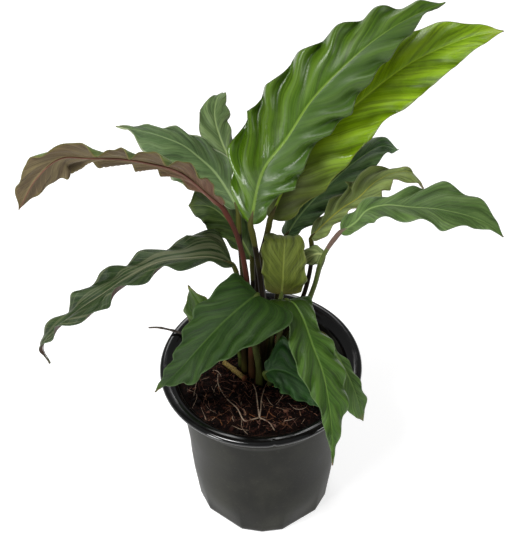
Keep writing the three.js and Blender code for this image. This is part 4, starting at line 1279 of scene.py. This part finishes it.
# %% Roots
FINE_ROOTS = [
    [(-14, 26), (-11, 15), (-6, 7)],
    [(-30, -5), (-33, -14), (-32, -18)],
    [(-14, -38), (-14, -45), (-10, -51)],
    [(-52, -10), (-45, -15), (-48, -28)],
    [(-45, -6), (-47, -17)],
    [(-42, -26), (-38, -39)],
    [(3, -20), (7, -27), (14, -31), (19, -33)],
    [(16, -16), (12, -23), (8, -29)],
    [(18, -25), (23, -31), (29, -31), (33, -26)],
    [(-21, -43), (-15, -46), (-9, -48)],
    [(53, 14), (54, 4), (51, -6), (52, -14)],
]
FINE_ROOT = 0.2
FINE_LIFT = 0.7
MAIN_ROOT = 0.5
ROOT_TAPER = 0.45
ROOT_KNOT = (-2, -38, 1.7)
MAIN_ROOTS = [
    [ROOT_KNOT, (-3, -26, 1.5), (-4, -16, 1.6), (-6, -10, 1.7)],
    [ROOT_KNOT, (-7, -40, 1.4), (-12, -41, 1.4), (-17, -31, 1.5), (-24, -22, 1.5),
     (-30, -7, 1.5), (-30, 2, 1.5)],
    [ROOT_KNOT, (-1, -30, 1.5), (0, -21, 1.6), (2, -14, 1.6)],
    [ROOT_KNOT, (2, -40, 1.4), (5, -43, 1.4), (8, -50, 1.4)],
]


def root_skin():
    """Pale straw-coloured skin, browner in patches where the peat has stained it."""
    skin = Finish("root skin", roughness=0.7, specular_ior_level=0.15)
    stain = skin.noise(skin.place(), 130, 3.0)
    ring = skin.noise(skin.place(), 900, 2.0)
    colour = skin.mix(skin.step(stain, 0.42, 0.66), "9a8571", "4e3226")
    skin.colour(skin.mix(skin.step(ring, 0.45, 0.7, 0.0, 0.6), colour, "cdbca4"))
    skin.bump(ring, 0.0002, 0.6)
    return skin.material


roots = bmesh.new()
for points in MAIN_ROOTS:
    tube(roots, on_soil(points), lambda share: MAIN_ROOT * (1 - ROOT_TAPER * share), 8, 40)
for points in FINE_ROOTS:
    tube(roots, on_soil(points, FINE_LIFT), thin(FINE_ROOT), 6, 24)
linked("surface_roots", welded(roots, FINE_WELD), [root_skin()], ["roots"])

# %% [markdown]
# ## The cut stub and the dry twig
# One old stalk was cut and lies as a yellow-tan stub that ends in a torn orange-brown stump. A dry
# grey twig has fallen in and rests on the rim. Both are tubes whose radius swells at their nodes.

# %% Stub and twig
STUB = [(-26, 11, 2.6), (-18, 3, 2.4), (-11, -6, 2.3)]
TWIG = [(-36, 21, 125.6), (-44, 25, 128.5), (-51, 28, 134.5), (-58, 30, 136.6), (-65, 32, 137.5),
        (-72, 34, 137.4), (-79, 35, 136.4)]
KNOT_LENGTH = 0.03
KNOT_SWELL = 0.35


def dry_skin(name, main, dark, end, end_from):
    """Dry fibrous bark, darker in its cracks, with another colour at the end."""
    skin = Finish(name, roughness=0.75, specular_ior_level=0.3)
    crack = skin.noise(skin.place((900, 900, 300)), 1.0, 3.0)
    colour = skin.mix(skin.step(crack, 0.4, 0.65), main, dark)
    colour = skin.mix(skin.step(skin.value("along"), end_from, 1.0), colour, end)
    skin.colour(colour)
    skin.bump(crack, 0.0004, 0.8)
    return skin.material


def knobbly(size, knots, tip):
    """A radius that changes steadily to its tip's share and swells at its knots."""

    def radius(share):
        swell = sum(np.exp(-(((share - knot) / KNOT_LENGTH) ** 2)) for knot in knots)
        return size * (1 - (1 - tip) * share) * (1 + KNOT_SWELL * swell)

    return radius


OLD_STALK = dry_skin("old stub", "86733a", "574720", "6a3c22", 0.85)
DRY_TWIG = dry_skin("dry twig", "4a423a", "28211c", "574d42", 0.6)
stub = bmesh.new()
tube(stub, on_soil(STUB), knobbly(1.75, (0.0, 0.45, 0.97), 1.05), 12, 48)
linked("old_stub", welded(stub), [OLD_STALK], ["cut_stub"])
twig = bmesh.new()
tube(twig, TWIG, knobbly(1.05, (0.12, 0.38, 0.62, 0.8), 0.6), 9, 60)
linked("fallen_twig", welded(twig), [DRY_TWIG], ["twig"])

# %% [markdown]
# ## Floor
# The floor is a plain pale sheet, wide enough to fill the view from any side.

# %% Floor
FLOOR_REACH = 6
FLOOR_DROP = 0.0005
sheet = bmesh.new()
bmesh.ops.create_grid(sheet, x_segments=1, y_segments=1, size=FLOOR_REACH)
floor = placed("floor", sheet)
floor_paint = Finish(
    "pale floor", base_color=linear("cccccc"), roughness=0.9, specular_ior_level=0.1,
    emission_color=WHITE, emission_strength=0.7,
)
floor.data.materials.append(floor_paint.material)
floor.location.z = -FLOOR_DROP
